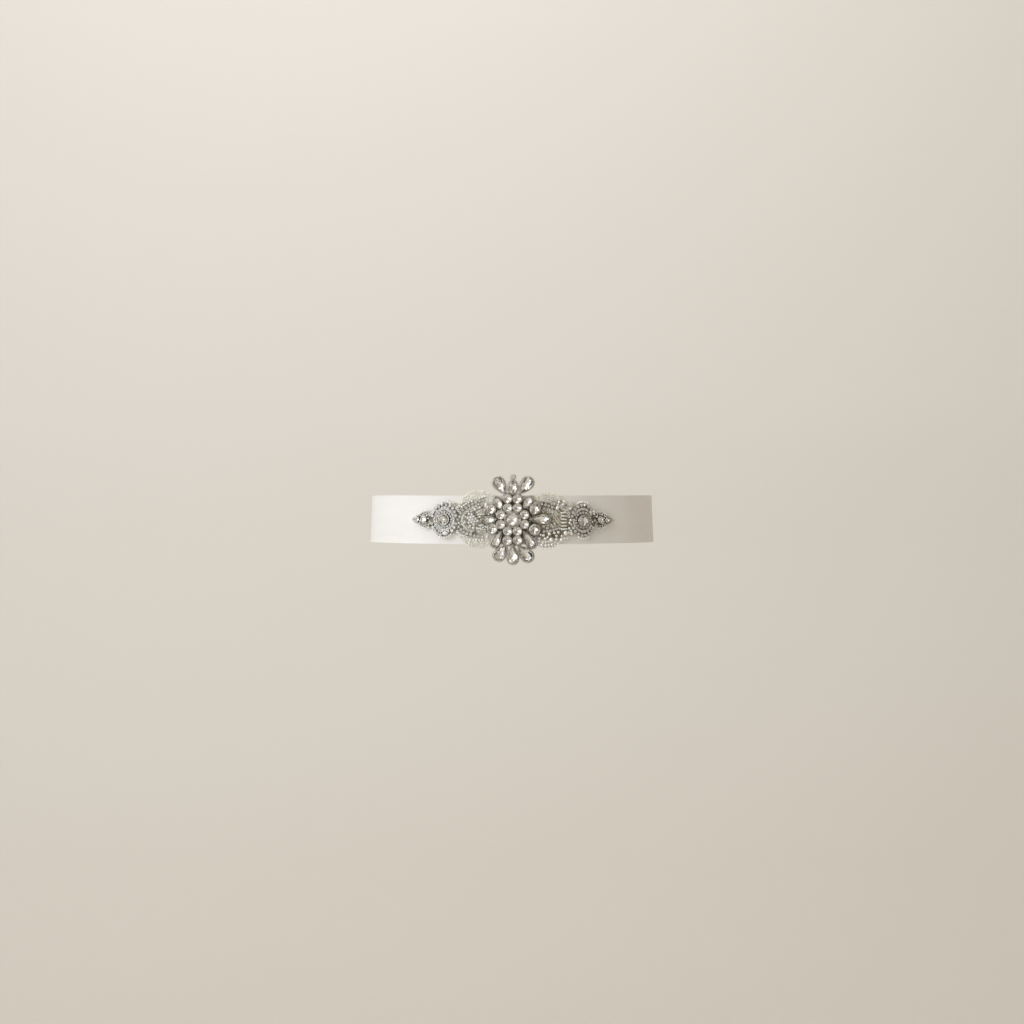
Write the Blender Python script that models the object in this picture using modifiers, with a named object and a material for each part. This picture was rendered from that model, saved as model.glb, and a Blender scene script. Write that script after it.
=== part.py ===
# Bridal sash: a satin ribbon band, worn as an open ring round a waist, with a rhinestone applique in front.
# Origin at the middle of the waist, half way up the ribbon at its sides. Front is -Y, up is +Z. Metres.
#
# A place on the band is given as "along" and "up": along is the distance round the waist from centre front,
# positive towards +X, and up is the height. Layers are stacked outwards from the waist by a distance "out".

import math
from collections import namedtuple

import bmesh
import bpy
import numpy as np
from mathutils import Matrix, Vector

MM = 0.001

# Waist, at the ribbon's inner face and half way up it
WAIST_HALF_WIDTH = 121.5 * MM
WAIST_FRONT_DEPTH = 89.5 * MM
WAIST_BACK_DEPTH = 87.5 * MM
FRONT_FULLNESS = 2.15  # power of the superellipse, 2 for an ellipse
BACK_FULLNESS = 2.35
WAIST_FLARE = 0.042  # half width gained for each metre down
OUTLINE_STEPS = 2880

# Ribbon
RIBBON_WIDTH = 40.0 * MM
RIBBON_WALL = 1.0 * MM
RIBBON_COLUMNS = 108
RIBBON_ROWS = 3
FRONT_DIP = 1.1 * MM  # how far the ribbon sinks at centre front
LAP = 30.0 * MM  # length over which the two ends lie on each other at centre back
LAP_RAMP = 26.0 * MM
LAP_REST = 3.0 * MM  # level stretch of the top end before the lap starts
SEAM_GAP = 0.3 * MM

# Closure, in the lap: a flat hook round a wire bar, twice
HOOK_SHEET = 0.5 * MM
HOOK_WIDTH = 6.0 * MM
HOOK_LENGTH = 10.0 * MM
HOOK_TONGUE = 6.0 * MM
BAR_WIRE = 0.8 * MM
BAR_SPAN = 8.6 * MM
BAR_FOOT = 1.8 * MM
BAR_OFFSET = 1.6 * MM
CLOSURE_HEIGHTS = {"upper": 9.0 * MM, "lower": -9.0 * MM}

# Layers of the applique, outwards from the waist
BACKING_WALL = 1.0 * MM
PLATE_WALL = 1.3 * MM
BACKING_OUT = RIBBON_WALL + SEAM_GAP
PLATE_OUT = BACKING_OUT + BACKING_WALL + SEAM_GAP
STONE_OUT = PLATE_OUT + PLATE_WALL + SEAM_GAP

# Applique
STONE_RIM = 0.8 * MM  # setting metal shown round each stone
BACKING_MARGIN = 0.5 * MM
BACKING_STEP = 1.75 * MM
FRAME_STEP = 1.0 * MM
FRAME_END = 0.3 * MM  # cut off the frame's two points, so that each has an end face
WING_ROWS = 24
WING_COLUMNS = 9
WING_SEAM = 0.8 * MM  # between a wing and the medallion's frame
WING_REACH = 1.2 * MM  # height over which a wing keeps clear of a corner of the frame
ROSETTE_SEAM = 0.6 * MM
LEAST_WING = 0.6 * MM
OUTLINE_POINTS = 72

Stone = namedtuple("Stone", "name cut along up long wide tilt thick")
Oval = namedtuple("Oval", "name along up half_long half_high")
Leaf = namedtuple("Leaf", "name root point up half_high")

# The medallion's stones, in millimetres. Tilt is the way that the long axis points, in degrees from "along",
# towards the round end of a pear.
CENTRE_STONE = Stone("stone_centre", "round", 0.5, -0.8, 12.6, 12.6, 0, 4.2)
RING_COUNT = 8
RING_RADIUS = 10.3
RING_STONE = 7.0
RING_THICK = 2.9

OUTER_STONES = [
    Stone("stone_top_left", "round", -3.7, 16.5, 7.2, 7.2, 0, 3.0),
    Stone("stone_top_right", "round", 4.4, 16.2, 7.2, 7.2, 0, 3.0),
    Stone("stone_bottom_left", "round", -3.6, -17.9, 7.3, 7.3, 0, 3.0),
    Stone("stone_bottom_right", "round", 4.5, -17.7, 7.1, 7.1, 0, 3.0),
    Stone("stone_left_upper", "round", -16.5, 7.9, 7.1, 7.1, 0, 3.0),
    Stone("stone_left_lower", "round", -15.8, -8.2, 8.0, 8.0, 0, 3.2),
    Stone("stone_right_upper", "oval", 18.6, 8.2, 9.3, 8.1, 60, 3.3),
    Stone("stone_right_lower", "round", 18.1, -9.1, 8.7, 8.7, 0, 3.3),
    Stone("navette_left", "navette", -18.4, -1.0, 12.4, 5.2, 185, 2.8),
    Stone("navette_right", "pear", 22.3, -0.4, 17.2, 7.0, 1, 3.2),
    Stone("navette_upper_left", "navette", -11.1, 12.8, 12.2, 5.4, 117, 2.8),
    Stone("navette_upper_right", "navette", 13.0, 13.6, 12.3, 5.4, 56, 2.8),
    Stone("navette_lower_left", "pear", -12.0, -16.6, 14.6, 6.6, -118, 3.1),
    Stone("navette_lower_right", "pear", 13.6, -16.9, 16.2, 7.1, -56, 3.1),
    Stone("fan_top_left", "pear", -9.5, 27.0, 15.2, 8.6, 122, 3.8),
    Stone("fan_top_middle", "oval", 0.7, 25.9, 10.4, 7.4, 90, 3.6),
    Stone("fan_top_right", "pear", 10.9, 27.1, 15.4, 9.0, 54, 3.8),
    Stone("fan_bottom_left", "pear", -8.6, -27.6, 14.4, 8.4, -127, 3.8),
    Stone("fan_bottom_middle", "pear", 0.6, -29.2, 15.4, 8.0, -89, 3.8),
    Stone("fan_bottom_right", "pear", 10.2, -28.2, 15.6, 9.0, -50, 3.8),
    Stone("finial", "round", 0.7, 34.2, 3.2, 3.2, 0, 2.4),
]

# Stones outside the medallion, on the rosettes and the leaf tips
SIDE_STONES = [
    Stone("stone_rosette_left", "round", -55.5, -0.6, 8.8, 8.8, 0, 3.0),
    Stone("stone_rosette_right", "round", 58.2, -1.7, 8.8, 8.8, 0, 3.0),
    Stone("stone_leaf_left", "round", -73.1, -0.4, 5.2, 5.2, 0, 2.4),
    Stone("stone_leaf_right", "round", 73.3, -1.0, 5.0, 5.0, 0, 2.4),
    Stone("bead_leaf_left", "round", -78.9, -0.6, 2.8, 2.8, 0, 1.9),
    Stone("bead_leaf_right", "round", 79.3, -1.4, 3.4, 3.4, 0, 2.0),
]

# Grounds of the wings, rosettes and leaves, in millimetres
WINGS = [Oval("wing_left", -27.4, -0.4, 19.2, 24.4), Oval("wing_right", 28.2, -0.9, 19.0, 23.2)]
ROSETTES = [
    Oval("rosette_left", -55.5, -0.7, 10.9, 15.2),
    Oval("rosette_right", 58.2, -1.3, 10.2, 15.6),
]
LEAVES = [Leaf("leaf_left", -67.0, -85.4, -0.6, 8.0), Leaf("leaf_right", 68.9, 87.7, -1.2, 7.9)]
LEAF_TIP = 0.5  # half height left at a leaf's point, so that it has an end face
LEAF_SWELL = 0.25  # share of a leaf's length where it is widest
LEAF_COLUMNS = 11
LEAF_ROWS = 6
LEAF_RIDGE = 0.9
LEAF_RIDGE_AT = 0.66  # share of the half height
LEAF_FLAT_END = 4.0  # height under which the leaf has no ridge

# A rosette's top from its edge to its middle: share of the radius, and height over its base in millimetres
ROSETTE_PROFILE = [
    (0.96, 2.6),
    (0.86, 2.6),
    (0.80, 1.5),
    (0.70, 1.5),
    (0.62, 2.4),
    (0.52, 2.4),
    (0.46, 1.3),
    (0.0, 1.3),
]
ROSETTE_SIDES = 26

# Ridge of rhinestones on a wing, an arc open towards the medallion, and the pearls in it, in millimetres
ARC_RADIUS_LONG = 15.5
ARC_RADIUS_HIGH = 14.0
ARC_HALF_WIDTH = 2.0
ARC_RISE = 1.2
MOUND_OFFSET = 5.0
MOUND_RADIUS = 5.5
MOUND_RISE = 1.6
ARC_FADE = 8.0  # length over which the arc's open ends run out

# A cut stone: the share of its outline's radius and of its thickness, from the base up to the table
STONE_PROFILE = [(0.0, 0.0), (0.82, 0.0), (1.0, 0.42), (0.56, 1.0), (0.0, 1.0)]
STONE_SIDES = {"round": 12, "oval": 14, "navette": 12, "pear": 14}
SMALL_STONE = 4.0
SMALL_STONE_SIDES = 8


# The waist

def waist_radius(angle):
    """Distance of the waist's outline from the origin, half way up."""
    depth, fullness = WAIST_BACK_DEPTH, BACK_FULLNESS
    if math.sin(angle) < 0:
        depth, fullness = WAIST_FRONT_DEPTH, FRONT_FULLNESS
    across = abs(math.cos(angle)) / WAIST_HALF_WIDTH
    deep = abs(math.sin(angle)) / depth
    return (across**fullness + deep**fullness) ** (-1 / fullness)


def waist_outline(angle):
    return Vector((math.cos(angle), math.sin(angle), 0)) * waist_radius(angle)


def measured_waist():
    """Angles from centre front once round, and the length walked round the waist at each."""
    angles = [-math.pi / 2 + 2 * math.pi * step / OUTLINE_STEPS for step in range(OUTLINE_STEPS + 1)]
    lengths = [0.0]
    for before, after in zip(angles, angles[1:]):
        lengths.append(lengths[-1] + (waist_outline(after) - waist_outline(before)).length)
    return angles, lengths


WAIST_ANGLES, WAIST_LENGTHS = measured_waist()
WAIST_ROUND = WAIST_LENGTHS[-1]
CENTRE_BACK = WAIST_ROUND / 2


def waist_frame(along, up, out=0.0):
    """Matrix of a place on the band: its X runs along, its Y up the cloth and its Z outwards."""
    angle = float(np.interp(along % WAIST_ROUND, WAIST_LENGTHS, WAIST_ANGLES))
    step = math.pi / OUTLINE_STEPS
    outline = waist_outline(angle)
    flare = WAIST_FLARE / WAIST_HALF_WIDTH
    tangent = (waist_outline(angle + step) - waist_outline(angle - step)).normalized()
    outwards = tangent.cross(Vector((0, 0, 1)) - outline * flare).normalized()
    place = outline * (1 - flare * up) + outwards * out
    place.z = up
    frame = Matrix((tangent, outwards.cross(tangent), outwards)).transposed().to_4x4()
    return Matrix.Translation(place) @ frame


def waist_point(along, up, out):
    return waist_frame(along, up, out).to_translation()


def ease(share):
    """0 to 1 with level ends."""
    share = min(max(share, 0.0), 1.0)
    return share * share * (3 - 2 * share)


# Objects and materials

def clear_scene():
    for item in list(bpy.data.objects):
        bpy.data.objects.remove(item, do_unlink=True)


def new_collection(name):
    collection = bpy.data.collections.new(name)
    bpy.context.scene.collection.children.link(collection)
    return collection


def new_material(name, colour, roughness, metallic=0.0, transmission=0.0):
    material = bpy.data.materials.new(name)
    material.use_nodes = True
    shader = material.node_tree.nodes["Principled BSDF"]
    shader.inputs["Base Color"].default_value = (*colour, 1)
    shader.inputs["Roughness"].default_value = roughness
    shader.inputs["Metallic"].default_value = metallic
    shader.inputs["Transmission Weight"].default_value = transmission
    return material


def add_object(name, data, material):
    item = bpy.data.objects.new(name, data)
    data.materials.append(material)
    sash.objects.link(item)
    return item


def mesh_object(name, shape, material):
    """Object from a bmesh, which is freed. A closed shape gets its faces turned outwards."""
    if all(edge.is_manifold for edge in shape.edges):
        bmesh.ops.recalc_face_normals(shape, faces=shape.faces)
        if shape.calc_volume(signed=True) < 0:
            bmesh.ops.reverse_faces(shape, faces=shape.faces)
    mesh = bpy.data.meshes.new(name)
    shape.to_mesh(mesh)
    shape.free()
    return add_object(name, mesh, material)


# Cloth walls and grounds

def band_sheet(columns, rows, place, out):
    """Open grid on the band. place(across, upwards), both from 0 to 1, gives each point's along and up."""
    sheet = bmesh.new()
    bmesh.ops.create_grid(sheet, x_segments=columns, y_segments=rows, size=0.5)
    kept_along = sheet.verts.layers.float.new("along")
    kept_up = sheet.verts.layers.float.new("up")
    for vert in sheet.verts:
        along, up = place(vert.co.x + 0.5, vert.co.y + 0.5)
        vert[kept_along] = along
        vert[kept_up] = up
        vert.co = waist_point(along, up, out(along) if callable(out) else out)
    return sheet


def thicken(sheet, out, wall, rise=None):
    """Closes a sheet by an extrusion to out + wall, and adds rise(along, up) to its outer points."""
    extruded = bmesh.ops.extrude_face_region(sheet, geom=list(sheet.faces))
    kept_along = sheet.verts.layers.float["along"]
    kept_up = sheet.verts.layers.float["up"]
    for vert in extruded["geom"]:
        if isinstance(vert, bmesh.types.BMVert):
            along, up = vert[kept_along], vert[kept_up]
            raised = rise(along, up) if rise else 0.0
            vert.co = waist_point(along, up, out + wall + raised)
    return sheet


def ribbon_lift(along):
    """How far the ribbon's inner face stands off the waist: only its lapped end does, over the closure."""
    ramp_start = CENTRE_BACK - LAP / 2 - LAP_REST - LAP_RAMP
    return LAP_CLEARANCE * ease((along - ramp_start) / LAP_RAMP)


def ribbon_place(across, upwards):
    along = (across - 0.5) * (WAIST_ROUND + LAP)
    dip = FRONT_DIP * math.cos(math.pi * along / WAIST_ROUND) ** 6
    return along, (upwards - 0.5) * RIBBON_WIDTH - dip


def ribbon_band():
    sheet = band_sheet(RIBBON_COLUMNS, RIBBON_ROWS, ribbon_place, ribbon_lift)
    band = mesh_object("ribbon_band", sheet, satin)
    wall = band.modifiers.new("Wall", "SOLIDIFY")
    wall.thickness = RIBBON_WALL
    wall.offset = 1.0
    wall.use_even_offset = True
    return band


# Outlines of the applique

def stone_outline(stone, turn, margin=0.0):
    """Along and up, in metres, of a stone's outline at a turn from its long axis."""
    across = math.cos(turn)
    beside = math.sin(turn)
    if stone.cut == "navette":
        beside *= abs(beside)
    elif stone.cut == "pear":
        beside *= abs(math.cos(turn / 2)) / 0.75
    x = across * (stone.long * MM / 2 + margin)
    y = beside * (stone.wide * MM / 2 + margin)
    tilt = math.radians(stone.tilt)
    along = stone.along * MM + x * math.cos(tilt) - y * math.sin(tilt)
    up = stone.up * MM + x * math.sin(tilt) + y * math.cos(tilt)
    return along, up


def ring_stones():
    """The eight rounds of one size round the centre stone."""
    for number in range(RING_COUNT):
        turn = 2 * math.pi * (number + 0.5) / RING_COUNT
        along = CENTRE_STONE.along + RING_RADIUS * math.cos(turn)
        up = CENTRE_STONE.up + RING_RADIUS * math.sin(turn)
        yield Stone(f"stone_ring_{number + 1}", "round", along, up, RING_STONE, RING_STONE, 0, RING_THICK)


def medallion_stones():
    return [CENTRE_STONE, *ring_stones(), *OUTER_STONES]


def stone_span(stone, along, margin):
    """Lowest and highest point of a stone's outline at this distance along, or None beside it."""
    turns = [2 * math.pi * step / OUTLINE_POINTS for step in range(OUTLINE_POINTS + 1)]
    points = [stone_outline(stone, turn, margin) for turn in turns]
    crossings = []
    for (along_a, up_a), (along_b, up_b) in zip(points, points[1:]):
        if (along_a - along) * (along_b - along) <= 0 and along_a != along_b:
            share = (along - along_a) / (along_b - along_a)
            crossings.append(up_a + share * (up_b - up_a))
    return (min(crossings), max(crossings)) if crossings else None


def oval_span(oval, along, margin):
    reach = (along - oval.along * MM) / (oval.half_long * MM + margin)
    if abs(reach) >= 1:
        return None
    half = (oval.half_high * MM + margin) * math.sqrt(1 - reach * reach)
    return oval.up * MM - half, oval.up * MM + half


def leaf_span(leaf, along, margin):
    """A leaf swells from its root to its widest place and runs out to a point."""
    share = (along - leaf.root * MM) / ((leaf.point - leaf.root) * MM)
    if not -LEAF_TIP / 10 <= share <= 1.0001:
        return None
    if share < LEAF_SWELL:
        swell = 0.77 + 0.23 * math.sin(math.pi / 2 * max(share, 0.0) / LEAF_SWELL)
    else:
        swell = 1 - ((share - LEAF_SWELL) / (1 - LEAF_SWELL)) ** 1.25
    half = max(leaf.half_high * swell, LEAF_TIP) * MM + margin
    return leaf.up * MM - half, leaf.up * MM + half


def joined_span(spans):
    spans = [span for span in spans if span]
    return (min(low for low, _ in spans), max(high for _, high in spans)) if spans else None


def medallion_span(along):
    return joined_span(stone_span(stone, along, STONE_RIM) for stone in medallion_stones())


def backing_span(along):
    margin = BACKING_MARGIN
    spans = [stone_span(stone, along, STONE_RIM + margin) for stone in medallion_stones()]
    spans += [oval_span(oval, along, margin) for oval in WINGS + ROSETTES]
    spans += [leaf_span(leaf, along, margin) for leaf in LEAVES]
    return joined_span(spans)


def medallion_reach():
    """How far the medallion's frame goes along, to the left and to the right."""
    turns = [2 * math.pi * step / OUTLINE_POINTS for step in range(OUTLINE_POINTS)]
    reach = [stone_outline(stone, turn, STONE_RIM)[0] for stone in medallion_stones() for turn in turns]
    return min(reach), max(reach)


def between(span_at, start, end):
    """place function of a ground that fills span_at(along) from start to end."""

    def place(across, upwards):
        along = start + across * (end - start)
        low, high = span_at(along)
        return along, low + upwards * (high - low)

    return place


# Grounds of the applique

def applique_backing():
    start, end = LEAVES[0].point * MM, LEAVES[1].point * MM
    columns = round((end - start) / BACKING_STEP)
    sheet = band_sheet(columns, 2, between(backing_span, start, end), BACKING_OUT)
    return mesh_object("applique_backing", thicken(sheet, BACKING_OUT, BACKING_WALL), felt)


def medallion_frame():
    left, right = medallion_reach()
    columns = round((right - left) / FRAME_STEP)
    sheet = band_sheet(columns, 2, between(medallion_span, left + FRAME_END, right - FRAME_END), PLATE_OUT)
    return mesh_object("medallion_frame", thicken(sheet, PLATE_OUT, PLATE_WALL), silver)


def wing_rise(wing, side):
    """Relief of a wing: the arc of rhinestones, and the mound of pearls inside it."""

    def rise(along, up):
        x = side * (along / MM - wing.along)
        y = up / MM - wing.up
        reach = math.hypot(x / ARC_RADIUS_LONG, y / ARC_RADIUS_HIGH)
        off_arc = abs(reach - 1) * ARC_RADIUS_HIGH
        on_arc = ease((x + ARC_FADE) / ARC_FADE) * max(0.0, 1 - (off_arc / ARC_HALF_WIDTH) ** 2)
        off_mound = math.hypot(x - MOUND_OFFSET, y) / MOUND_RADIUS
        return max(ARC_RISE * on_arc, MOUND_RISE * max(0.0, 1 - off_mound**2)) * MM

    return rise


def wing_edges(wing, side):
    """Inner and outer limits of a wing at each height, clear of the medallion's frame and the rosette."""
    rosette = ROSETTES[0] if side < 0 else ROSETTES[1]
    left, right = medallion_reach()
    steps = np.arange(left, right, FRAME_STEP / 2)
    spans = [(along, medallion_span(along)) for along in steps]
    spans = [(side * along, *span) for along, span in spans if span]

    def edges(up):
        level_with = [out for out, low, high in spans if low - WING_REACH <= up <= high + WING_REACH]
        inner = max(level_with) + WING_SEAM
        share = (up / MM - wing.up) / wing.half_high
        outer = side * wing.along * MM + wing.half_long * MM * math.sqrt(max(0.0, 1 - share * share))
        level = (up / MM - rosette.up) / rosette.half_high
        if abs(level) < 1:
            near = rosette.half_long * math.sqrt(1 - level * level)
            outer = min(outer, (side * rosette.along - near) * MM - ROSETTE_SEAM)
        return side * inner, side * max(outer, inner + LEAST_WING)

    return edges


def wing_ground(wing):
    side = -1 if wing.along < 0 else 1
    edges = wing_edges(wing, side)

    def place(across, upwards):
        up = (wing.up - wing.half_high * math.cos(math.pi * upwards)) * MM
        inner, outer = edges(up)
        return inner + across * (outer - inner), up

    sheet = band_sheet(WING_COLUMNS, WING_ROWS, place, PLATE_OUT)
    return mesh_object(wing.name, thicken(sheet, PLATE_OUT, PLATE_WALL, wing_rise(wing, side)), beaded_net)


def turned(profile, sides):
    """Closed turned shape from a profile of (radius, height), base first."""
    shape = bmesh.new()
    verts = [shape.verts.new((radius, 0, height)) for radius, height in profile]
    for lower, upper in zip(verts, verts[1:]):
        shape.edges.new((lower, upper))
    line = list(shape.verts) + list(shape.edges)
    bmesh.ops.spin(shape, geom=line, cent=(0, 0, 0), axis=(0, 0, 1), angle=2 * math.pi, steps=sides)
    bmesh.ops.remove_doubles(shape, verts=shape.verts, dist=1e-6)
    return shape


def rosette_ground(rosette):
    """Turned pad with two ridges, laid on the backing."""
    pad = turned([(0.0, 0.0), (1.0, 0.0)] + ROSETTE_PROFILE, ROSETTE_SIDES)
    for vert in pad.verts:
        along = (rosette.along + rosette.half_long * vert.co.x) * MM
        up = (rosette.up + rosette.half_high * vert.co.y) * MM
        vert.co = waist_point(along, up, PLATE_OUT + vert.co.z * MM)
    return mesh_object(rosette.name, pad, silver)


def leaf_ground(leaf):
    """Pointed pad, with a ridge inside its edge."""

    def rise(along, up):
        low, high = leaf_span(leaf, along, 0.0)
        if high - low < LEAF_FLAT_END * MM:
            return 0.0
        share = abs(2 * up - low - high) / (high - low)
        return LEAF_RIDGE * MM * max(0.0, 1 - abs(share - LEAF_RIDGE_AT) / (1 - LEAF_RIDGE_AT))

    def span_at(along):
        return leaf_span(leaf, along, 0.0)

    place = between(span_at, leaf.root * MM, leaf.point * MM)
    sheet = band_sheet(LEAF_COLUMNS, LEAF_ROWS, place, PLATE_OUT)
    return mesh_object(leaf.name, thicken(sheet, PLATE_OUT, PLATE_WALL, rise), silver)


# Stones

def cut_stone(stone):
    """Faceted stone with a flat base, seated level with the band at its own middle."""
    sides = SMALL_STONE_SIDES if stone.long < SMALL_STONE else STONE_SIDES[stone.cut]
    gem = turned(STONE_PROFILE, sides)
    level_stone = stone._replace(along=0.0, up=0.0)
    seat = waist_frame(stone.along * MM, stone.up * MM, STONE_OUT)
    for vert in gem.verts:
        radius = math.hypot(vert.co.x, vert.co.y)
        x, y = stone_outline(level_stone, math.atan2(vert.co.y, vert.co.x))
        vert.co = seat @ Vector((x * radius, y * radius, vert.co.z * stone.thick * MM))
    return mesh_object(stone.name, gem, crystal)


# Closure

LOW_LEG = RIBBON_WALL + SEAM_GAP
BAR_MIDDLE = LOW_LEG + HOOK_SHEET + SEAM_GAP + BAR_WIRE / 2
HIGH_LEG = BAR_MIDDLE + BAR_WIRE / 2 + SEAM_GAP
LAP_CLEARANCE = HIGH_LEG + HOOK_SHEET + SEAM_GAP


def flat_hook(name, height):
    """Sheet metal hook in the lap, with its plate under the top end and its tongue turned round the bar."""
    bend = (HIGH_LEG - LOW_LEG + HOOK_SHEET) / 2
    middle = LOW_LEG + bend
    turns = [math.pi / 2 - math.pi * step / 8 for step in range(9)]
    bend_at = HOOK_LENGTH / 2 - bend
    outer = [(bend_at + bend * math.cos(turn), middle + bend * math.sin(turn)) for turn in turns]
    hollow = bend - HOOK_SHEET
    inner = [(bend_at + hollow * math.cos(turn), middle - hollow * math.sin(turn)) for turn in turns]
    tongue_end = bend_at - HOOK_TONGUE
    plate_end = -HOOK_LENGTH / 2
    tongue = [(tongue_end, middle - bend), (tongue_end, middle - hollow)]
    outline = [(plate_end, middle + bend)] + outer + tongue
    outline += inner + [(plate_end, middle + hollow)]
    curve = bpy.data.curves.new(name, "CURVE")
    curve.dimensions = "2D"
    curve.fill_mode = "BOTH"
    curve.extrude = HOOK_WIDTH / 2
    spline = curve.splines.new("POLY")
    spline.points.add(len(outline) - 1)
    for point, (x, y) in zip(spline.points, outline):
        point.co = (x, y, 0, 1)
    spline.use_cyclic_u = True
    hook = add_object(name, curve, nickel)
    hook.matrix_world = waist_frame(CENTRE_BACK, height) @ Matrix.Rotation(math.pi / 2, 4, "X")
    return hook


def wire_bar(name, height):
    """Wire staple sewn to the lower end, which the hook's tongue goes under."""
    half = BAR_SPAN / 2
    foot_out = LOW_LEG + BAR_WIRE / 2
    rise = BAR_MIDDLE - foot_out
    path = [
        (half + BAR_FOOT, foot_out),
        (half + rise, foot_out),
        (half + rise / 2, foot_out + rise / 2),
        (half, BAR_MIDDLE),
        (-half, BAR_MIDDLE),
        (-half - rise / 2, foot_out + rise / 2),
        (-half - rise, foot_out),
        (-half - BAR_FOOT, foot_out),
    ]
    curve = bpy.data.curves.new(name, "CURVE")
    curve.dimensions = "3D"
    curve.bevel_depth = BAR_WIRE / 2
    curve.bevel_resolution = 2
    curve.use_fill_caps = True
    spline = curve.splines.new("POLY")
    spline.points.add(len(path) - 1)
    for point, (up, out) in zip(spline.points, path):
        point.co = (BAR_OFFSET, up, out, 1)
    bar = add_object(name, curve, nickel)
    bar.matrix_world = waist_frame(CENTRE_BACK, height)
    return bar


clear_scene()
sash = new_collection("bridal_sash")
satin = new_material("ribbon_satin", (0.86, 0.85, 0.83), 0.38)
felt = new_material("backing_felt", (0.80, 0.78, 0.70), 0.95)
silver = new_material("setting_silver", (0.42, 0.41, 0.36), 0.35, metallic=1.0)
beaded_net = new_material("beaded_net", (0.66, 0.64, 0.52), 0.55)
crystal = new_material("crystal_glass", (0.93, 0.93, 0.92), 0.03, transmission=0.9)
nickel = new_material("closure_nickel", (0.62, 0.60, 0.56), 0.28, metallic=1.0)

ribbon_band()
for place_name, closure_height in CLOSURE_HEIGHTS.items():
    flat_hook(f"hook_{place_name}", closure_height)
    wire_bar(f"bar_{place_name}", closure_height)
applique_backing()
medallion_frame()
for wing in WINGS:
    wing_ground(wing)
for rosette in ROSETTES:
    rosette_ground(rosette)
for leaf in LEAVES:
    leaf_ground(leaf)
for stone in medallion_stones() + SIDE_STONES:
    cut_stone(stone)
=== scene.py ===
import math
import random
from collections import namedtuple

import bpy
import numpy as np
from mathutils import Matrix, Vector


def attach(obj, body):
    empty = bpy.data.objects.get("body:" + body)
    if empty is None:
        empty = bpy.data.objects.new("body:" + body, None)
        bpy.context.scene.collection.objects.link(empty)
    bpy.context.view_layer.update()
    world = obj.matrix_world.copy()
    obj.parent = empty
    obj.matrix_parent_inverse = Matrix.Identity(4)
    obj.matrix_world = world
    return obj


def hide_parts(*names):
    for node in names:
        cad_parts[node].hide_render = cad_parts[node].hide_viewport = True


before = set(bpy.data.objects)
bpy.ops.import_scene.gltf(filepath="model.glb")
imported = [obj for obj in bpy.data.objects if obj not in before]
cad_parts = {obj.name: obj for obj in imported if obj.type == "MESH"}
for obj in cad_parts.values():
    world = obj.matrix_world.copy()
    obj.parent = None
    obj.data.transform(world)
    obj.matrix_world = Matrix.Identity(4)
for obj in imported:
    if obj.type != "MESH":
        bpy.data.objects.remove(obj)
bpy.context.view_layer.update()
print("frame loaded:", len(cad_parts), "solids")

mm = 0.001
dice = random.Random(12)

# Places on the band are in millimetres: along runs round the waist from centre front, positive towards +X,
# up is the height up the cloth, and out is the distance off the waist that the sash is worn on.
waist = {
    "halfWidth": 121.5,
    "frontDepth": 89.5,
    "backDepth": 87.5,
    "frontFullness": 2.15,  # power of the superellipse, 2 is an ellipse
    "backFullness": 2.35,
    "flare": 0.042,  # half width gained for each length down
    "steps": 2880,
}


def outlineAt(turn):
    front = np.sin(turn) < 0
    depth = np.where(front, waist["frontDepth"], waist["backDepth"])
    fullness = np.where(front, waist["frontFullness"], waist["backFullness"])
    across = np.abs(np.cos(turn)) / waist["halfWidth"]
    deep = np.abs(np.sin(turn)) / depth
    radius = (across**fullness + deep**fullness) ** (-1 / fullness)
    return np.stack([np.cos(turn) * radius, np.sin(turn) * radius], axis=-1)


waistTurns = np.linspace(-math.pi / 2, 1.5 * math.pi, waist["steps"] + 1)
waistSteps = np.linalg.norm(np.diff(outlineAt(waistTurns), axis=0), axis=1)
waistLengths = np.concatenate([[0.0], np.cumsum(waistSteps)])
waistRound = waistLengths[-1]


def bandAxes(along):
    turn = np.interp(np.mod(along, waistRound), waistLengths, waistTurns)
    step = math.pi / waist["steps"]
    level = np.zeros((len(turn), 1))
    point = np.hstack([outlineAt(turn), level])
    tangent = np.hstack([outlineAt(turn + step) - outlineAt(turn - step), level])
    tangent /= np.linalg.norm(tangent, axis=1, keepdims=True)
    outwards = np.cross(tangent, np.array([0, 0, 1]) - point * waist["flare"] / waist["halfWidth"])
    outwards /= np.linalg.norm(outwards, axis=1, keepdims=True)
    return point, tangent, outwards


def bandPoints(along, up, out):
    along, up, out = (np.atleast_1d(x).astype(float) for x in np.broadcast_arrays(along, up, out))
    point, tangent, outwards = bandAxes(along)
    flare = waist["flare"] / waist["halfWidth"]
    places = point * (1 - flare * up)[:, None] + outwards * out[:, None]
    places[:, 2] = up
    return places * mm


def bandFrame(along, up, out=0.0, spin=0.0):
    point, tangent, outwards = (Vector(row[0]) for row in bandAxes(np.array([along])))
    axes = Matrix((tangent, outwards.cross(tangent), outwards)).transposed().to_4x4()
    place = Matrix.Translation(Vector(bandPoints(along, up, out)[0]))
    return place @ axes @ Matrix.Rotation(spin, 4, "Z")


def ease(share):
    share = np.clip(share, 0.0, 1.0)
    return share * share * (3 - 2 * share)


# Materials

def linearColour(code):
    parts = [int(code[i:i + 2], 16) / 255 for i in (1, 3, 5)]
    return (*[part / 12.92 if part <= 0.04045 else ((part + 0.055) / 1.055) ** 2.4 for part in parts], 1)


def addNode(material, kind, settings=(), links=()):
    node = material.node_tree.nodes.new("ShaderNode" + kind)
    for name, value in dict(settings).items():
        if isinstance(name, int) or name in node.inputs:
            node.inputs[name].default_value = value
        else:
            setattr(node, name, value)
    for name, source in dict(links).items():
        material.node_tree.links.new(source, node.inputs[name])
    return node


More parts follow.
